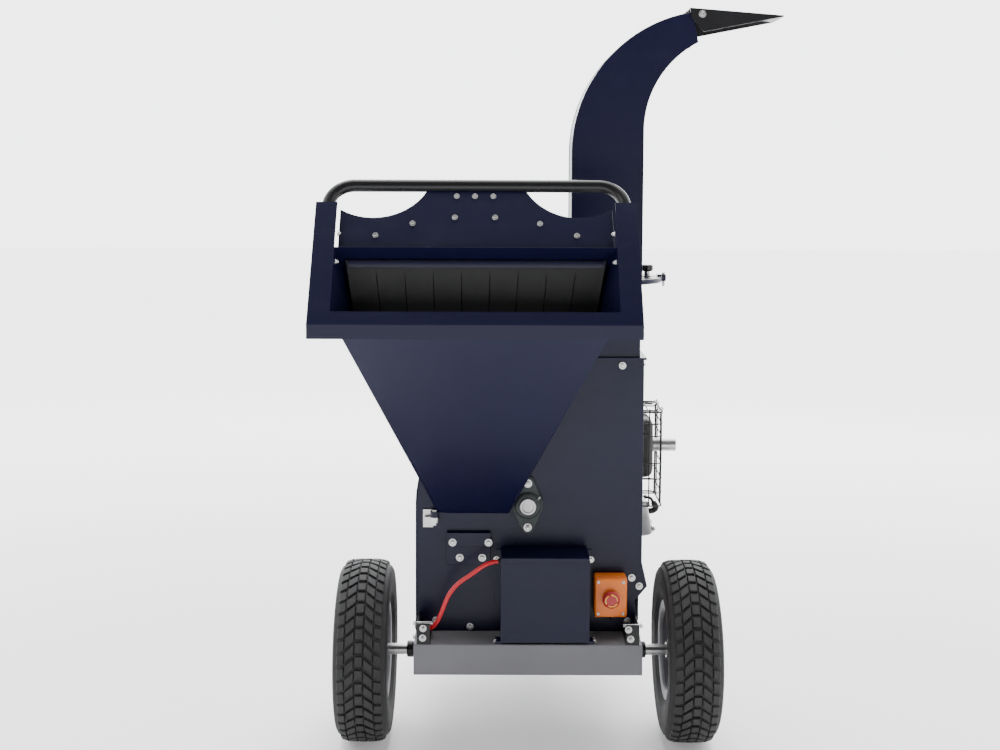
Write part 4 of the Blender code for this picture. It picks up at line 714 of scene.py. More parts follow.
def makeHousingBolts():
    shape = Shape()
    face = housing["face"]
    plateBolts = ((-0.167, 0.472, 0.014), (-0.087, 0.472, 0.014), (-0.151, 0.436, 0.008),
                  (-0.101, 0.436, 0.008))
    for x, z, step in plateBolts:
        shape.hexBolt((x, face - step, z), (0, -1, 0), 0.0058)
    for x, z in ((-0.128, 0.276), (0.251, 0.370), (0.234, 0.389), (0.208, 0.868), (-0.205, 0.290),
                 (0.225, 0.290)):
        shape.hexBolt((x, face, z), (0, -1, 0), 0.0055)
    shape.hexBolt((0.2505, 0.0, 0.862), (1, 0, 0), 0.0062, 2.0, stub=0.008)
    for z in (0.335, 0.760):
        shape.hexBolt((0.2503, 0.0, z), (1, 0, 0), 0.0060)
    for hand in (-1, 1):
        nut = housing["rotorZ"] + hand * housing["bearingBolts"] / 2
        for side in (-1, 1):
            shape.hexBolt((0, side * 0.0733, nut), (0, side, 0), 0.0072, 1.5, stub=0.005)
    for x, z in ((-0.069, 0.431), (0.142, 0.431)):
        shape.hexBolt((x, face - 0.0030, z), (0, -1, 0), 0.0048)
    for x in (-0.0715, 0.1455):
        for y in (-0.139, -0.125):
            shape.hexBolt((x, y, 0.2702), (0, 0, 1), 0.0042)
    shape.piece("housingBolts", zinc, "chassis")


def makeBearing(side, name):
    # cast two-bolt flange bearing: pad, domed housing, inner ring, set collar and grease nipple
    shape = Shape()
    base = side * 0.0603
    half = housing["bearingBolts"] / 2
    z = housing["rotorZ"]
    for grow, start, end in ((0.0, 0.0, 0.010), (-0.0015, 0.010, 0.0130)):
        ear, wide = 0.0150 + grow, housing["bearingHalf"] + grow
        outline = []
        for centre, radius, first, last in (((0, z + half), ear, 28, 152), ((0, z), wide, 158, 202),
                                            ((0, z - half), ear, 208, 332), ((0, z), wide, -22, 22)):
            outline += arcPoints(centre, radius, first, last, 12)
        ends = sorted((base + side * start, base + side * end))
        shape.prism(outline, ends[0], ends[1])
    dome = [(0.0127, 0.024), (0.0190, 0.024), (0.0195, 0.022), (0.0240, 0.022), (0.0265, 0.0205),
            (0.0290, 0.0165),
            (0.0310, 0.0120), (0.0310, 0.001), (0.0127, 0.001)]
    shape.lathe(dome, (0, base, z), (0, side, 0), 64, closed=True)
    shape.piece(name + "Casting", iron, "chassis", [name], 32, 0.0007)
    inner = Shape()
    inner.lathe([(0.0128, 0.0298), (0.0172, 0.0298), (0.0180, 0.0290), (0.0180, 0.0242), (0.0128, 0.0242)],
                (0, base, z), (0, side, 0), 48, closed=True)
    nipple = Vector((0.0205, base + side * 0.0195, z + 0.0150))
    inner.rod(nipple, nipple + Vector((0.004, side * 0.004, 0.004)), 0.0030, 6, 0.0004)
    inner.rod(nipple + Vector((0.004, side * 0.004, 0.004)),
              nipple + Vector((0.007, side * 0.006, 0.007)), 0.0020, 16, 0.0005)
    inner.piece(name + "Ring", steel, "chassis")


def makeSeams():
    # weld beads where the rim meets the plates
    shape = Shape()
    radius = housing["radius"]
    scroll = [(-radius, z / 100) for z in range(30, 56, 2)]
    scroll += arcPoints((0, housing["rotorZ"]), radius, 180, 68.2, 40)
    scroll += [(0.0935, 0.80), (0.0935, 0.875)]
    for side in (-1, 1):
        shape.tube([(x, side * 0.0602, z) for x, z in scroll], 0.0011, 6)
    shape.piece("housingWelds", navy, "chassis")


makeHousingBolts()
makeBearing(-1, "front_bearing")
makeBearing(1, "rear_bearing")
makeSeams()
print("housing made")


stop = {"x": 0.183, "z": 0.358, "wide": 0.072, "tall": 0.088, "front": -0.1103, "back": -0.0603,
        "cap": 0.019}
battery = {"left": -0.0595, "right": 0.1335, "front": -0.150, "low": 0.270, "top": 0.458}


def makeStop():
    x, z, front = stop["x"], stop["z"], stop["front"]
    box = Shape()
    wide, tall = stop["wide"] / 2, stop["tall"] / 2
    box.box((x - wide, front + 0.0155, z - tall), (x + wide, stop["back"], z + tall), 0.0050)
    box.box((x - wide + 0.0008, front + 0.0140, z - tall + 0.0008),
            (x + wide - 0.0008, front + 0.0160, z + tall - 0.0008))
    box.box((x - wide, front, z - tall), (x + wide, front + 0.0145, z + tall), 0.0050)
    box.lathe([(0.0105, 0.0040), (0.0142, 0.0040), (0.0150, 0.0032), (0.0150, -0.002), (0.0105, -0.002)],
              (x, front, z), (0, -1, 0), 64, closed=True)
    box.piece("stopBox", orange, "chassis", ["estop_box"], 35)

    screws = Shape()
    for sx in (-1, 1):
        for sz in (-1, 1):
            place = (x + sx * (wide - 0.0085), front - 0.0004, z + sz * (tall - 0.0085))
            screws.lathe([(0, 0.0006), (0.0012, 0.0008), (0.0030, 0.0006), (0.0036, 0.0), (0, 0)], place,
                         (0, -1, 0), 24)
            screws.box((place[0] - 0.0026, place[1] - 0.0012, place[2] - 0.0004),
                       (place[0] + 0.0026, place[1] - 0.0002, place[2] + 0.0004))
    screws.piece("stopScrews", steel, "chassis")
    gland = Shape()
    gland.lathe([(0, 0.014), (0.0058, 0.014), (0.0066, 0.012), (0.0066, 0.009), (0.0086, 0.0085),
                 (0.0086, 0.0), (0, 0)],
                (x, front + 0.028, z - tall), (0, 0, -1), 6)
    gland.piece("stopGland", plastic, "chassis")

    cap = stop["cap"]
    base = front - 0.0045 - 0.004
    button = Shape()
    button.lathe([(0, 0.0128), (cap * 0.35, 0.0127), (cap * 0.62, 0.0120), (cap * 0.80, 0.0108),
                  (cap * 0.92, 0.0090),
                  (cap * 0.985, 0.0066), (cap, 0.0048), (cap, 0.0018), (cap * 0.97, 0.0004),
                  (cap * 0.9, 0.0),
                  (0.0085, 0.0), (0.0085, -0.0165), (0, -0.0165)], (x, base, z), (0, -1, 0), 80)
    button.piece("stopButton", red, "estop", ["estop_button"], 40)
    ring = Shape()
    for k in range(3):
        start = 120 * k
        outer = arcPoints((x, z), 0.0138, start, start + 74, 14)
        inner = arcPoints((x, z), 0.0118, start + 74, start, 14)
        angle = math.radians(start + 74)
        tangent = Vector((-math.sin(angle), math.cos(angle)))
        radial = Vector((math.cos(angle), math.sin(angle)))
        centre = Vector((x, z))
        head = [tuple(centre + radial * 0.0152), tuple(centre + radial * 0.0128 + tangent * 0.0058),
                tuple(centre + radial * 0.0104)]
        ring.prism([*outer, *head, *inner], base - 0.0134, base - 0.0085)
    ring.piece("stopArrows", arrowYellow, "estop")


def makeBatteryBox():
    # corner seams, the crease of the folded lip and the battery's rubber strap
    shape = Shape()
    left, right, front, low, top = [battery[key] for key in ("left", "right", "front", "low", "top")]
    for x in (left + 0.0006, right - 0.0006):
        shape.tube([(x, front + 0.0008, low + 0.004), (x, front + 0.0008, top - 0.004)], 0.0011, 8)
    shape.box((left + 0.004, front - 0.0005, top - 0.0125), (right - 0.004, front + 0.001, top - 0.0118))
    shape.piece("batteryBoxSeams", navy, "chassis")
    strap = Shape()
    strap.box((0.028, front + 0.0032, low + 0.006), (0.046, front + 0.0046, low + 0.172), 0.0004)
    strap.piece("batteryStrap", sheetRubberWithPaintedShade, "chassis")


cable = {"radius": 0.00475, "holeX": -0.228, "holeZ": 0.2795}


def makeCable():
    holeX, holeZ = cable["holeX"], cable["holeZ"]
    route = [(-0.0600, -0.128, 0.444), (-0.0740, -0.128, 0.444), (-0.096, -0.135, 0.438),
             (-0.124, -0.138, 0.419),
             (-0.153, -0.138, 0.398), (-0.172, -0.136, 0.374), (-0.183, -0.133, 0.349),
             (-0.193, -0.127, 0.322),
             (-0.206, -0.116, 0.297), (-0.222, -0.098, holeZ + 0.002), (holeX, -0.070, holeZ),
             (holeX, 0.0, holeZ),
             (holeX, 0.070, holeZ), (-0.220, 0.110, holeZ + 0.004), (-0.190, 0.150, 0.300),
             (-0.152, 0.172, 0.334),
             (-0.130, 0.192, 0.352), (-0.130, 0.2093, 0.352)]
    shape = Shape()
    shape.tube(smoothRoute(route, 0.004), cable["radius"], 24)
    shape.piece("starterCable", cableRed, "chassis", ["starter_cable"], 60)
    fittings = Shape()
    fittings.lathe([(0.0050, 0.006), (0.0074, 0.005), (0.0080, 0.002), (0.0080, 0.0), (0.0050, 0.0)],
                   (-0.0598, -0.128, 0.444), (-1, 0, 0), 32, closed=True)
    for side in (-1, 1):
        fittings.lathe([(0.0050, 0.0028), (0.0112, 0.0022), (0.0118, 0.0008), (0.0118, 0.0003),
                        (0.0050, 0.0003)],
                       (holeX, side * 0.060, holeZ), (0, side, 0), 32, closed=True)
    boot = [(-0.152, 0.172, 0.334), (-0.141, 0.183, 0.344), (-0.130, 0.192, 0.352), (-0.130, 0.2090, 0.352)]
    fittings.tube(smoothRoute(boot, 0.003), 0.0072, 24)
    fittings.piece("cableBoots", sheetRubberWithPaintedShade, "chassis", angle=50)


makeStop()
makeBatteryBox()
makeCable()
print("electrics made")


mouth = {"x": -0.112, "half": 0.270, "lipY": -0.551, "lipZ": 1.012, "tilt": math.radians(35.3),
         "low": 0.028,
         "opening": 0.141, "side": 0.042, "setback": 0.0215}
up = Vector((0, math.sin(mouth["tilt"]), math.cos(mouth["tilt"])))
back = Vector((0, math.cos(mouth["tilt"]), -math.sin(mouth["tilt"])))


def mouthPoint(x, rise, behind=0.0):
    return Vector((mouth["x"] + x, mouth["lipY"], mouth["lipZ"])) + up * rise + back * behind


handle = {"reach": 0.291, "top": 0.326, "low": 0.120, "corner": 0.050, "radius": 0.0125}


def makeHandle():
    reach, top, turn = handle["reach"], handle["top"], handle["corner"]
    route = [(reach, handle["low"] + (top - turn - handle["low"]) * i / 6) for i in range(6)]
    route += arcPoints((reach - turn, top - turn), turn, 0, 90, 18)
    route += [(-x, z) for x, z in reversed(route)]
    shape = Shape()
    shape.tube([mouthPoint(x, z, mouth["setback"]) for x, z in route], handle["radius"], 40)
    shape.piece("pushHandle", black, "hopper", ["push_handle"], 60, 0.0012)


panel = {"low": 0.1705, "tab": 0.3132, "scoopX": 0.202, "scoopRise": 0.367, "scoopRadius": 0.117,
         "half": 0.266, "sheet": 0.0025}


def makeBackPanel():
    reach = panel["half"]
    start = 180 - math.degrees(math.asin((panel["tab"] - panel["scoopRise"]) / panel["scoopRadius"]))
    end = 360 - math.degrees(math.acos((reach - panel["scoopX"]) / panel["scoopRadius"]))
    scoop = arcPoints((panel["scoopX"], panel["scoopRise"]), panel["scoopRadius"], end, start, 40)
    outline = [(-reach, panel["low"]), (reach, panel["low"]), *scoop,
               *[(-x, z) for x, z in reversed(scoop)]]
    shape = Shape()
    half = panel["sheet"] / 2
    rings = [[shape.mesh.verts.new(mouthPoint(x, z, mouth["setback"] + depth)) for x, z in outline]
             for depth in (-half, half)]
    for ring in rings:
        shape.mesh.faces.new(ring)
    shape.skin(rings)
    shape.piece("hopperBackPanel", navy, "hopper", ["hopper_back_panel"], 30, 0.0005)


def makeHopperBolts():
    shape = Shape()
    face = mouth["setback"] - panel["sheet"] / 2
    rows = ((0.3005, (-0.0390, -0.0030, 0.0330)), (0.2507, (-0.0420, 0.0365)),
            (0.2365, (-0.1240, 0.1240)), (0.2087, (-0.1950, 0.1950)))
    for rise, places in rows:
        for x in places:
            shape.hexBolt(mouthPoint(x, rise, face), -back, 0.0046, 1.5, stub=0.003)
    for side in (-1, 1):
        for rise in (0.142, 0.206):
            place = mouthPoint(side * (mouth["half"] - 0.0028), rise, 0.010)
            shape.hexBolt(place, (-side, 0, 0), 0.0044, 1.5, stub=0.002)
    shape.piece("hopperBolts", zinc, "hopper")
    seams = Shape()
    inletY = -0.0694
    corners = ((-0.196, 0.540, -mouth["half"], mouth["low"]), (-0.046, 0.540, mouth["half"], mouth["low"]),
               (-0.046, 0.672, mouth["half"], mouth["low"] + mouth["opening"]),
               (-0.196, 0.672, -mouth["half"], mouth["low"] + mouth["opening"]))
    for x, z, reach, rise in corners:
        start = Vector((x, inletY - 0.004, z))
        end = mouthPoint(reach, rise)
        outward = Vector((0.0012 if reach > 0 else -0.0012, 0, 0.0008 if rise > 0.1 else -0.0008))
        seams.tube([start.lerp(end, 0.03 + 0.93 * i / 12) + outward for i in range(13)], 0.0012, 8)
    for side in (-1, 1):
        corner = mouthPoint(side * (mouth["half"] + mouth["side"]) - side * 0.0010, 0.0022, 0.0012)
        seams.tube([corner, corner + Vector((0, 0, -0.026))], 0.0011, 8)
    seams.piece("hopperSeams", navy, "hopper")


curtain = {"gap": 0.0014, "flaps": 9, "thick": 0.003, "sway": 0.0030, "rows": 10, "slitFrom": 0.12,
           "bottomLeft": -0.3366, "bottomRight": 0.1090}


def makeCurtain():
    # one rubber sheet under a clamping bar, slit into flaps that hang a little unevenly
    low, high = nodeBox("feed_curtain")
    y = (low.y + high.y) / 2
    top, bottom = high.z, low.z
    wideLeft, wideRight = low.x, high.x
    shape = Shape()
    area = 0.0
    rows = curtain["rows"]
    for k in range(curtain["flaps"]):
        a, b = k / curtain["flaps"], (k + 1) / curtain["flaps"]
        rings = []
        for r in range(rows + 1):
            t = r / rows
            z = top + (bottom - top) * t
            left = wideLeft + (curtain["bottomLeft"] - wideLeft) * t
            right = wideRight + (curtain["bottomRight"] - wideRight) * t
            slit = curtain["gap"] if t > curtain["slitFrom"] else 0.0
            x0 = left + (right - left) * a + (slit / 2 if k else 0)
            x1 = left + (right - left) * b - (slit / 2 if k < curtain["flaps"] - 1 else 0)
            bend = curtain["sway"] * math.sin(1.7 * k + 0.6) * t * t
            rings.append((x0, x1, z, y + bend))
            if r:
                last = rings[-2]
                area += (last[1] - last[0] + x1 - x0) / 2 * abs(last[2] - z)
        front = [[shape.mesh.verts.new((x, d - curtain["thick"] / 2, z)) for x in (x0, x1)] for x0, x1, z,
                 d in rings]
        rear = [[shape.mesh.verts.new((x, d + curtain["thick"] / 2, z)) for x in (x0, x1)] for x0, x1, z,
                d in rings]
        for r in range(rows):
            shape.mesh.faces.new((front[r][0], front[r][1], front[r + 1][1], front[r + 1][0]))
            shape.mesh.faces.new((rear[r][1], rear[r][0], rear[r + 1][0], rear[r + 1][1]))
            for c in (0, 1):
                shape.mesh.faces.new((front[r][c], rear[r][c], rear[r + 1][c], front[r + 1][c]))
        shape.mesh.faces.new((front[0][0], rear[0][0], rear[0][1], front[0][1]))
        shape.mesh.faces.new((front[-1][0], front[-1][1], rear[-1][1], rear[-1][0]))
    # the curtain's rubber colour is darker than real: partly painted shade of the hopper mouth
    made = shape.piece("feedCurtain", sheetRubberWithPaintedShade, "hopper", ["feed_curtain"], 40)
    bar = Shape()
    bar.box((wideLeft + 0.004, y - 0.0045, top - 0.014),
            (wideRight - 0.004, y - 0.0020, top - 0.001), 0.0006)
    bar.piece("curtainBar", navy, "hopper")


makeHandle()
makeBackPanel()
makeHopperBolts()
makeCurtain()
print("hopper made")


chute = {"x": 0.1705, "half": 0.0775, "y": 0.058, "base": 1.0563, "ring": 0.128, "ringThick": 0.005,
         "bendStart": 1.337,
         "outer": 0.306, "inner": 0.214, "innerRise": 0.049, "outerAngle": 99.0, "innerAngle": 117.0,
         "sheet": 0.0025,
         "pivot": (0.37213, 1.63573), "knobReach": 0.0955, "clipCircle": 0.1328, "clipTop": 1.0664}


def chuteSide(inset, base, reach, steps=36):
    left, right = chute["x"] - chute["half"] + inset, chute["x"] + chute["half"] - inset
    outerCentre = (chute["x"] - chute["half"] + chute["outer"], chute["bendStart"])
    innerCentre = (chute["x"] + chute["half"] + chute["inner"], chute["bendStart"] + chute["innerRise"])
    outer = arcPoints(outerCentre, chute["outer"] - inset, 180, chute["outerAngle"] - reach, steps)
    inner = arcPoints(innerCentre, chute["inner"] + inset, 180, chute["innerAngle"] - reach, steps)
    return [(left, base), *outer], [(right, base), *inner]


def makeChute():
    base = chute["base"] + chute["ringThick"] - 0.001
    shape = Shape()
    loops = []
    for inset, y in ((0.0, chute["y"]), (chute["sheet"], chute["y"] - chute["sheet"])):
        outer, inner = chuteSide(inset, base, 0)
        loop = [[shape.mesh.verts.new((ox, -y, oz)), shape.mesh.verts.new((ox, y, oz)),
                 shape.mesh.verts.new((ix, y, iz)), shape.mesh.verts.new((ix, -y, iz))]
                for (ox, oz), (ix, iz) in zip(outer, inner)]
        loops.append(loop)
        shape.skin(loop)
    for end in (0, -1):
        shape.skin([loops[0][end], loops[1][end]])
    shape.piece("chuteBody", navy, "chute", ["chute"], 25, 0.0008)

    ring = Shape()
    half, wide = chute["half"] - 0.003, chute["y"] - 0.003
    steps = 96
    rings = []
    for z, r, inset in ((chute["base"], chute["ring"] - 0.0006, 0),
                        (chute["base"] + 0.0006, chute["ring"], 0),
                        (chute["base"] + 0.0044, chute["ring"], 0),
                        (chute["base"] + 0.005, chute["ring"] - 0.0006, 0)):
        rings.append([ring.mesh.verts.new((chute["x"] + r * math.cos(2 * math.pi * k / steps),
                                           r * math.sin(2 * math.pi * k / steps), z))
                      for k in range(steps)])
    holes = []
    for z in (chute["base"], chute["base"] + 0.005):
        hole = []
        for k in range(steps):
            a = 2 * math.pi * k / steps
            reach = min(half / max(1e-6, abs(math.cos(a))), wide / max(1e-6, abs(math.sin(a))))
            hole.append(ring.mesh.verts.new((chute["x"] + reach * math.cos(a), reach * math.sin(a), z)))
        holes.append(hole)
    ring.skin([*rings, holes[1], holes[0], rings[0]])
    ring.piece("chuteRing", navy, "chute", angle=30)

    seams = Shape()
    outer, inner = chuteSide(0.0, base + 0.003, 0)
    for side in (-1, 1):
        for line in (outer, inner):
            seams.tube([(x, side * (chute["y"] + 0.0001), z) for x, z in line], 0.0011, 8)
        seams.tube([(chute["x"] - chute["half"], side * (chute["y"] + 0.0006), base + 0.0012),
                    (chute["x"] + chute["half"], side * (chute["y"] + 0.0006), base + 0.0012)], 0.0014, 8)
    for hand in (-1, 1):
        seams.tube([(chute["x"] + hand * (chute["half"] + 0.0004), -chute["y"], base + 0.0012),
                    (chute["x"] + hand * (chute["half"] + 0.0004), chute["y"], base + 0.0012)], 0.0014, 8)
    seams.piece("chuteSeams", navy, "chute")
    bolts = Shape()
    pivotX, pivotZ = chute["pivot"]
    for side in (-1, 1):
        bolts.rod((pivotX, side * 0.0530, pivotZ), (pivotX, side * 0.0620, pivotZ), 0.0050, 24)
    bolts.piece("deflectorPins", zinc, "chute")
    heads = Shape()
    for side in (-1, 1):
        heads.hexBolt((pivotX, side * 0.0623, pivotZ), (0, side, 0), 0.0056, 1.7, stub=0.004)
    heads.piece("deflectorBolts", zinc, "deflector")


def makeKnob():
    # fluted clamping knob on its threaded stud, with a washer
    x = chute["x"] + chute["knobReach"]
    base = chute["base"] + chute["ringThick"] + 0.0003
    shape = Shape()
    steps, lobes = 96, 8
    rings = []
    for z, r in ((0.0112, 0.0070), (0.0120, 0.0112), (0.0135, 0.0130), (0.0150, 0.0135), (0.0230, 0.0135),
                 (0.0248, 0.0128), (0.0258, 0.0105)):
        ring = []
        for k in range(steps):
            a = 2 * math.pi * k / steps
            flute = 1 - 0.10 * (0.5 - 0.5 * math.cos(lobes * a)) if r > 0.0105 else 1
            ring.append(shape.mesh.verts.new((x + r * flute * math.cos(a), r * flute * math.sin(a),
                                              base + z)))
        rings.append(ring)
    shape.skin(rings, capped=True)
    shape.piece("swivelKnobGrip", plastic, "swivel_knob", ["swivel_knob"], 40)
    stud = Shape()
    stud.lathe([(0, 0.0118), (0.0062, 0.0118), (0.0062, 0.0016), (0.0100, 0.0016), (0.0105, 0.0010),
                (0.0105, 0.0001), (0, 0.0001)],
               (x, 0, base), (0, 0, 1), 32)
    stud.piece("swivelKnobStud", zinc, "swivel_knob")
    clips = Shape()
    for k in range(3):
        a = 2 * math.pi * k / 3
        place = (chute["x"] + chute["clipCircle"] * math.cos(a), chute["clipCircle"] * math.sin(a),
                 chute["clipTop"])
        clips.hexBolt(place, (0, 0, 1), 0.0042, 1.1, 0.7)
        clips.rod((place[0], place[1], 1.0400), (place[0], place[1], 1.0516), 0.0030, 16, 0.0004)
    clips.piece("ringClipBolts", zinc, "chassis")


makeChute()
makeKnob()
print("chute made")


guard = {"left": 0.162, "right": 0.3292, "front": 0.1838, "rear": 0.3422, "low": 0.4918, "high": 0.7202,
         "wire": 0.0016,
         "hoops": (0.4918, 0.524, 0.558, 0.596, 0.662, 0.692, 0.7202), "corner": 0.014}
engine = {"crankX": 0.040, "crankZ": 0.399, "rear": 0.335, "slope": math.radians(12), "middle": 0.2625,
          "screwCircle": 0.0850, "shroudRadius": 0.1298}


def makeGuard():
    # welded wire cage round the silencer
    left, right, front, rear, turn = [guard[key] for key in ("left", "right", "front", "rear", "corner")]
    shape = Shape()
    flat = [(left, front)] + arcPoints((right - turn, front + turn), turn, -90, 0, 8)
    flat += arcPoints((right - turn, rear - turn), turn, 0, 90, 8) + [(left, rear)]
    for z in guard["hoops"]:
        shape.tube([(x, y, z) for x, y in flat],
                   guard["wire"] * (1.25 if z in (guard["low"], guard["high"]) else 1.0), 10)
    for x in (0.163, 0.196, 0.230, 0.264, 0.298):
        route = [(front + guard["wire"], guard["low"]), (front + guard["wire"], guard["high"] - 0.010)]
        route += [(front + 0.010, guard["high"] - 0.0016), (rear - 0.010, guard["high"] - 0.0016)]
        route += [(rear - guard["wire"], guard["high"] - 0.010), (rear - guard["wire"], guard["low"])]
        shape.tube(smoothRoute([(x, y, z) for y, z in route], 0.006), guard["wire"], 10)
    for y in (0.1985, 0.218, 0.284, 0.312, 0.328):
        route = [(right - guard["wire"], guard["low"]), (right - guard["wire"], guard["high"] - 0.010),
                 (right - 0.012, guard["high"] - 0.0016),
                 (left + 0.004, guard["high"] - 0.0016)]
        shape.tube(smoothRoute([(x, y, z) for x, z in route], 0.006), guard["wire"], 10)
    shape.piece("exhaustCage", heatBlack, "chassis", ["muffler_guard"], 60)


def makeExhaust():
    shape = Shape()
    shape.lathe([(0.0146, 0.0585), (0.0158, 0.0587), (0.0164, 0.0580), (0.0165, 0.0570), (0.0165, 0.0),
                 (0.0146, 0.0)],
                (0.3104, 0.250, 0.630), (1, 0, 0), 48, closed=True)
    shape.piece("exhaustPipe", zinc, "chassis", ["exhaust_outlet"], 40)
    seams = Shape()
    for y in (0.2615, 0.2645):
        route = [(0.141, 0.574), (0.141, 0.682)]
        for x, z, first in ((0.158, 0.682, 180), (0.292, 0.682, 90), (0.292, 0.574, 0),
                            (0.158, 0.574, -90)):
            route += arcPoints((x, z), 0.0178, first, first - 90, 6)
        seams.tube([(x, y, z) for x, z in route], 0.0016, 8)
    for x, z in ((0.165, 0.585), (0.285, 0.585), (0.165, 0.672), (0.285, 0.672)):
        seams.hexBolt((x, 0.1960, z), (0, -1, 0), 0.0055)
        seams.hexBolt((x, 0.3300, z), (0, 1, 0), 0.0055)
    seams.lathe([(0.0166, 0.003), (0.021, 0.0025), (0.0215, 0.0003), (0.0166, 0.0003)],
                (0.3103, 0.250, 0.630), (1, 0, 0), 40, closed=True)
    seams.piece("silencerSeams", heatBlack, "chassis")


def makeEngineDetails():
    slope = Vector((math.cos(engine["slope"]), 0, math.sin(engine["slope"])))
    start = Vector((engine["crankX"], engine["middle"], engine["crankZ"]))
    across = Vector((-slope.z, 0, slope.x))
    bolts = Shape()
    for a in (-0.036, 0.036):
        for b in (-0.032, 0.032):
            bolts.hexBolt(start + slope * 0.2722 + Vector((0, a, 0)) + across * b, slope, 0.0058)
    for x, z in ((-0.055, 0.300), (0.118, 0.300), (-0.055, 0.470), (0.118, 0.470), (0.118, 0.385)):
        bolts.hexBolt((x, 0.1900, z), (0, -1, 0), 0.0052)
    shroudRear = engine["rear"] + 0.0003 + 0.088
    for k in range(4):
        a = math.radians(45 + 90 * k)
        place = (engine["crankX"] + engine["screwCircle"] * math.cos(a), shroudRear + 0.0127,
                 engine["crankZ"] + engine["screwCircle"] * math.sin(a))
        bolts.hexBolt(place, (0, 1, 0), 0.0044)
    for k in range(6):
        a = math.radians(30 + 60 * k)
        place = Vector((engine["crankX"] + engine["shroudRadius"] * math.cos(a), 0.350,
                        engine["crankZ"] + engine["shroudRadius"] * math.sin(a)))
        if place.z < 0.50:
            bolts.hexBolt(place, (math.cos(a), 0, math.sin(a)), 0.0040)
    bolts.hexBolt((-0.0705, 0.215, 0.320), (-1, 0, 0), 0.0070)
    bolts.piece("engineBolts", zinc, "chassis")

    cast = Shape()
    for k in range(7):
        z = 0.318 + 0.022 * k
        cast.box((-0.0716, 0.196, z), (-0.0690, 0.322, z + 0.004), 0.0008)
    for k in range(5):
        y = 0.206 + 0.022 * k
        cast.box((-0.050, y, 0.4855), (0.000, y + 0.004, 0.4885), 0.0008)
    cast.lathe([(0, 0.012), (0.008, 0.012), (0.009, 0.010), (0.009, 0.002), (0.014, 0.0), (0, 0.0)],
               (0.060, 0.1905, 0.330), (0, -1, 0), 32)
    cast.piece("crankcaseRibs", aluminium, "chassis", bevel=0.0003)

    rubber = Shape()
    plugStart = start + slope * 0.2740 + across * 0.004
    rubber.tube(smoothRoute([plugStart, plugStart + slope * 0.012,
                             plugStart + slope * 0.020 + across * 0.006,
                             plugStart + slope * 0.016 + across * 0.020], 0.003), 0.0072, 20)
    lead = [plugStart + slope * 0.016 + across * 0.018, plugStart + slope * 0.006 + across * 0.034,
            Vector((0.262, 0.292, 0.4840)),
            Vector((0.240, 0.322, 0.470)), Vector((0.190, 0.336, 0.452)), Vector((0.166, 0.338, 0.436))]
    rubber.tube(smoothRoute(lead, 0.004), 0.0035, 14)
    fuel = [(-0.020, 0.236, 0.602), (-0.020, 0.244, 0.578), (-0.022, 0.262, 0.560), (-0.024, 0.276, 0.545)]
    rubber.tube(smoothRoute(fuel, 0.004), 0.0038, 14)
    rubber.piece("plugLeadAndFuelLine", sheetRubberWithPaintedShade, "chassis", angle=60)

    grille = Shape()
    shroudX, shroudZ = engine["crankX"], engine["crankZ"]
    for k in range(24):
        a = 2 * math.pi * k / 24
        radial = Vector((math.cos(a), 0, math.sin(a)))
        centre = Vector((shroudX, shroudRear + 0.0290, shroudZ)) + radial * 0.0560
        inner = centre - radial * 0.010 + Vector((0, 0.0046, 0))
        outer = centre + radial * 0.0075 + Vector((0, -0.0012, 0))
        grille.tube([inner, (inner + outer) / 2 + Vector((0, 0.0006, 0)), outer], 0.0017, 8)
    grille.lathe([(0.0, 0.0366), (0.030, 0.0366), (0.034, 0.0362), (0.036, 0.0340), (0.0, 0.0340)],
                 (shroudX, shroudRear, shroudZ), (0, 1, 0), 64)
    grille.piece("recoilRibs", black, "chassis")
    ribs = Shape()
    for k in range(36):
        a = 2 * math.pi * k / 36
        place = Vector((shroudX + 0.1296 * math.cos(a), 0, shroudZ + 0.1296 * math.sin(a)))
        ribs.tube([place + Vector((0, 0.372, 0)), place + Vector((0, 0.398, 0))], 0.0016, 8)
    ribs.piece("shroudRibs", plastic, "chassis")


def makeTank():
    low, high = Vector((-0.128, 0.196, 0.598)), Vector((0.122, 0.400, 0.716))
    seam = Shape()
    turn = 0.024
    flat = []
    for x, y, first in ((low.x + turn, low.y + turn, 180), (high.x - turn, low.y + turn, 270),
                        (high.x - turn, high.y - turn, 0), (low.x + turn, high.y - turn, 90)):
        flat += arcPoints((x, y), turn + 0.0012, first, first + 90, 8)
    seam.prism(flat, 0.6560, 0.6585, "Z")
    seam.piece("tankSeam", black, "chassis", bevel=0.0006)
    neck = Shape()
    neck.lathe([(0.0, 0.0004), (0.0325, 0.0004), (0.0330, -0.0006), (0.0330, -0.004), (0.0, -0.004)],
               (-0.050, 0.300, 0.7160), (0, 0, 1), 64)
    neck.piece("tankNeck", zinc, "chassis")
    cap = Shape()
    steps, rings = 120, []
    for z, r in ((0.0004, 0.0285), (0.0012, 0.0298), (0.0140, 0.0298), (0.0162, 0.0288), (0.0175, 0.0268),
                 (0.0179, 0.0240), (0.0170, 0.0190)):
        ring = []
        for k in range(steps):
            a = 2 * math.pi * k / steps
            flute = 1 - 0.035 * (0.5 + 0.5 * math.cos(20 * a)) if 0.001 < z < 0.015 else 1
            ring.append(cap.mesh.verts.new((-0.050 + r * flute * math.cos(a),
                                            0.300 + r * flute * math.sin(a), 0.7163 + z)))
        rings.append(ring)
    cap.skin(rings, capped=True)
    cap.piece("fuelCapGrip", plastic, "fuel_cap", ["fuel_cap"], 40)


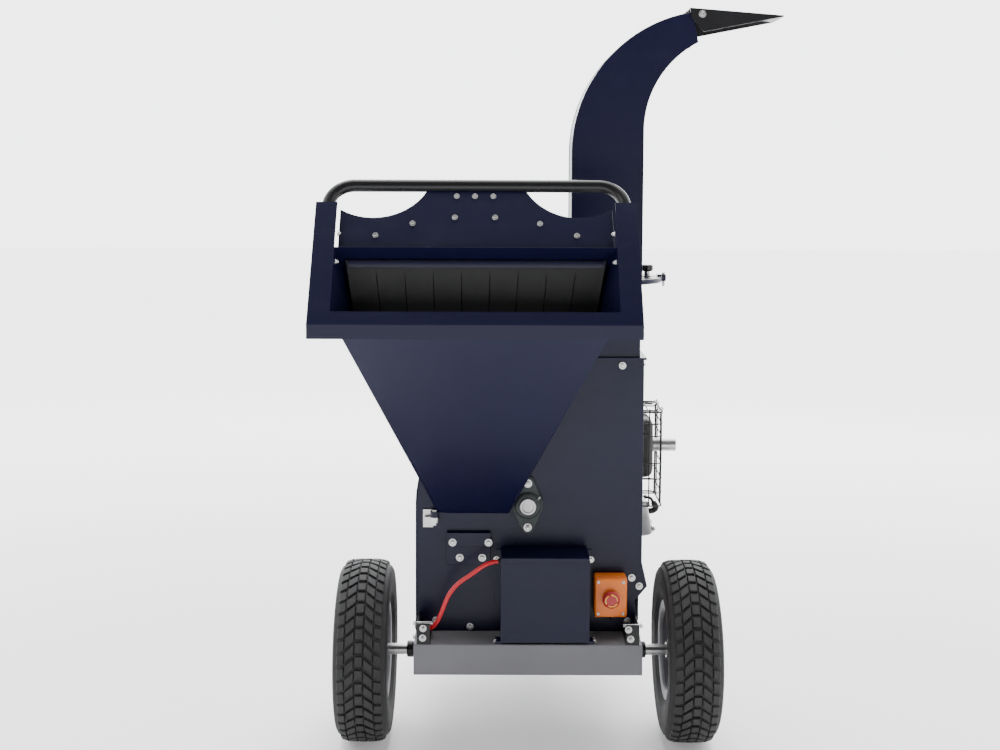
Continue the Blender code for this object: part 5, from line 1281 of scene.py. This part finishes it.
def makeIntake():
    low, high = nodeBox("air_cleaner")
    cover = Shape()
    for k in range(5):
        z = low.z + 0.016 + 0.014 * k
        cover.box((low.x - 0.0012, low.y + 0.012, z), (low.x + 0.0015, high.y - 0.012, z + 0.005), 0.0010)
    cover.box((low.x + 0.006, low.y - 0.0010, low.z + 0.034),
              (high.x - 0.006, low.y + 0.001, low.z + 0.040), 0.0006)
    cover.piece("airCleanerRibs", plastic, "chassis")
    knob = Shape()
    middle = (low + high) / 2
    knob.lathe([(0, 0.010), (0.006, 0.010), (0.0075, 0.008), (0.0075, 0.003), (0.011, 0.002),
                (0.011, 0.0), (0, 0)],
               (middle.x, middle.y, high.z - 0.0004), (0, 0, 1), 6)
    knob.piece("airCleanerKnob", zinc, "chassis")
    bowl = Shape()
    bowl.rod((-0.020, 0.2500, 0.512), (-0.020, 0.2540, 0.512), 0.012, 40, 0.001)
    bowl.hexBolt((-0.020, 0.2500, 0.512), (0, -1, 0), 0.0045)
    bowl.hexBolt((-0.036, 0.2520, 0.535), (0, -1, 0), 0.0032)
    bowl.hexBolt((-0.004, 0.2520, 0.535), (0, -1, 0), 0.0032)
    bowl.piece("carburettorBowl", aluminium, "chassis")


def makeStarter():
    shape = Shape()
    centre = Vector((-0.118, nodeBox("starter_motor")[1].y, 0.352))
    for k in range(2):
        a = math.radians(40 + 180 * k)
        shape.hexBolt(centre + Vector((0.024 * math.cos(a), 0, 0.024 * math.sin(a))), (0, 1, 0), 0.0040)
    band = [(0.0332, 0.003), (0.0342, 0.0025), (0.0342, 0.0005), (0.0332, 0.0)]
    for ahead in (0.018, 0.096):
        shape.lathe(band, centre - Vector((0, ahead, 0)), (0, 1, 0), 56, closed=True)
    shape.piece("starterBands", steel, "chassis")


def makeTowDetails():
    bolts = Shape()
    for y in (0.12, 0.30, 0.48):
        bolts.hexBolt((0, y, 0.2664), (0, 0, 1), 0.0080)
    for y in (0.588, 0.612):
        bolts.hexBolt((-0.0252, y, 0.2367), (-1, 0, 0), 0.0066, stub=0.004)
    for hand in (-1, 1):
        bolts.hexBolt((hand * 0.013, 0.845, 0.2072), (0, 0, -1), 0.0055)
    bolts.piece("towBarBolts", zinc, "chassis")
    welds = Shape()
    for side in (-1, 1):
        welds.tube([(side * 0.0252, 0.832, 0.2117), (side * 0.0252, 0.878, 0.2117)], 0.0016, 8)
    welds.piece("towBarWelds", black, "chassis")


def makeGuardBolts():
    bolts = Shape()
    for x, z in ((0.0, 0.652), (-0.085, 0.600), (0.105, 0.380), (-0.030, 0.352)):
        bolts.hexBolt((x, 0.1540, z), (0, 1, 0), 0.0046)
    bolts.piece("beltGuardBolts", zinc, "chassis")


makeGuard()
makeExhaust()
makeEngineDetails()
makeTank()
makeIntake()
makeStarter()
makeTowDetails()
makeGuardBolts()
print("engine made")
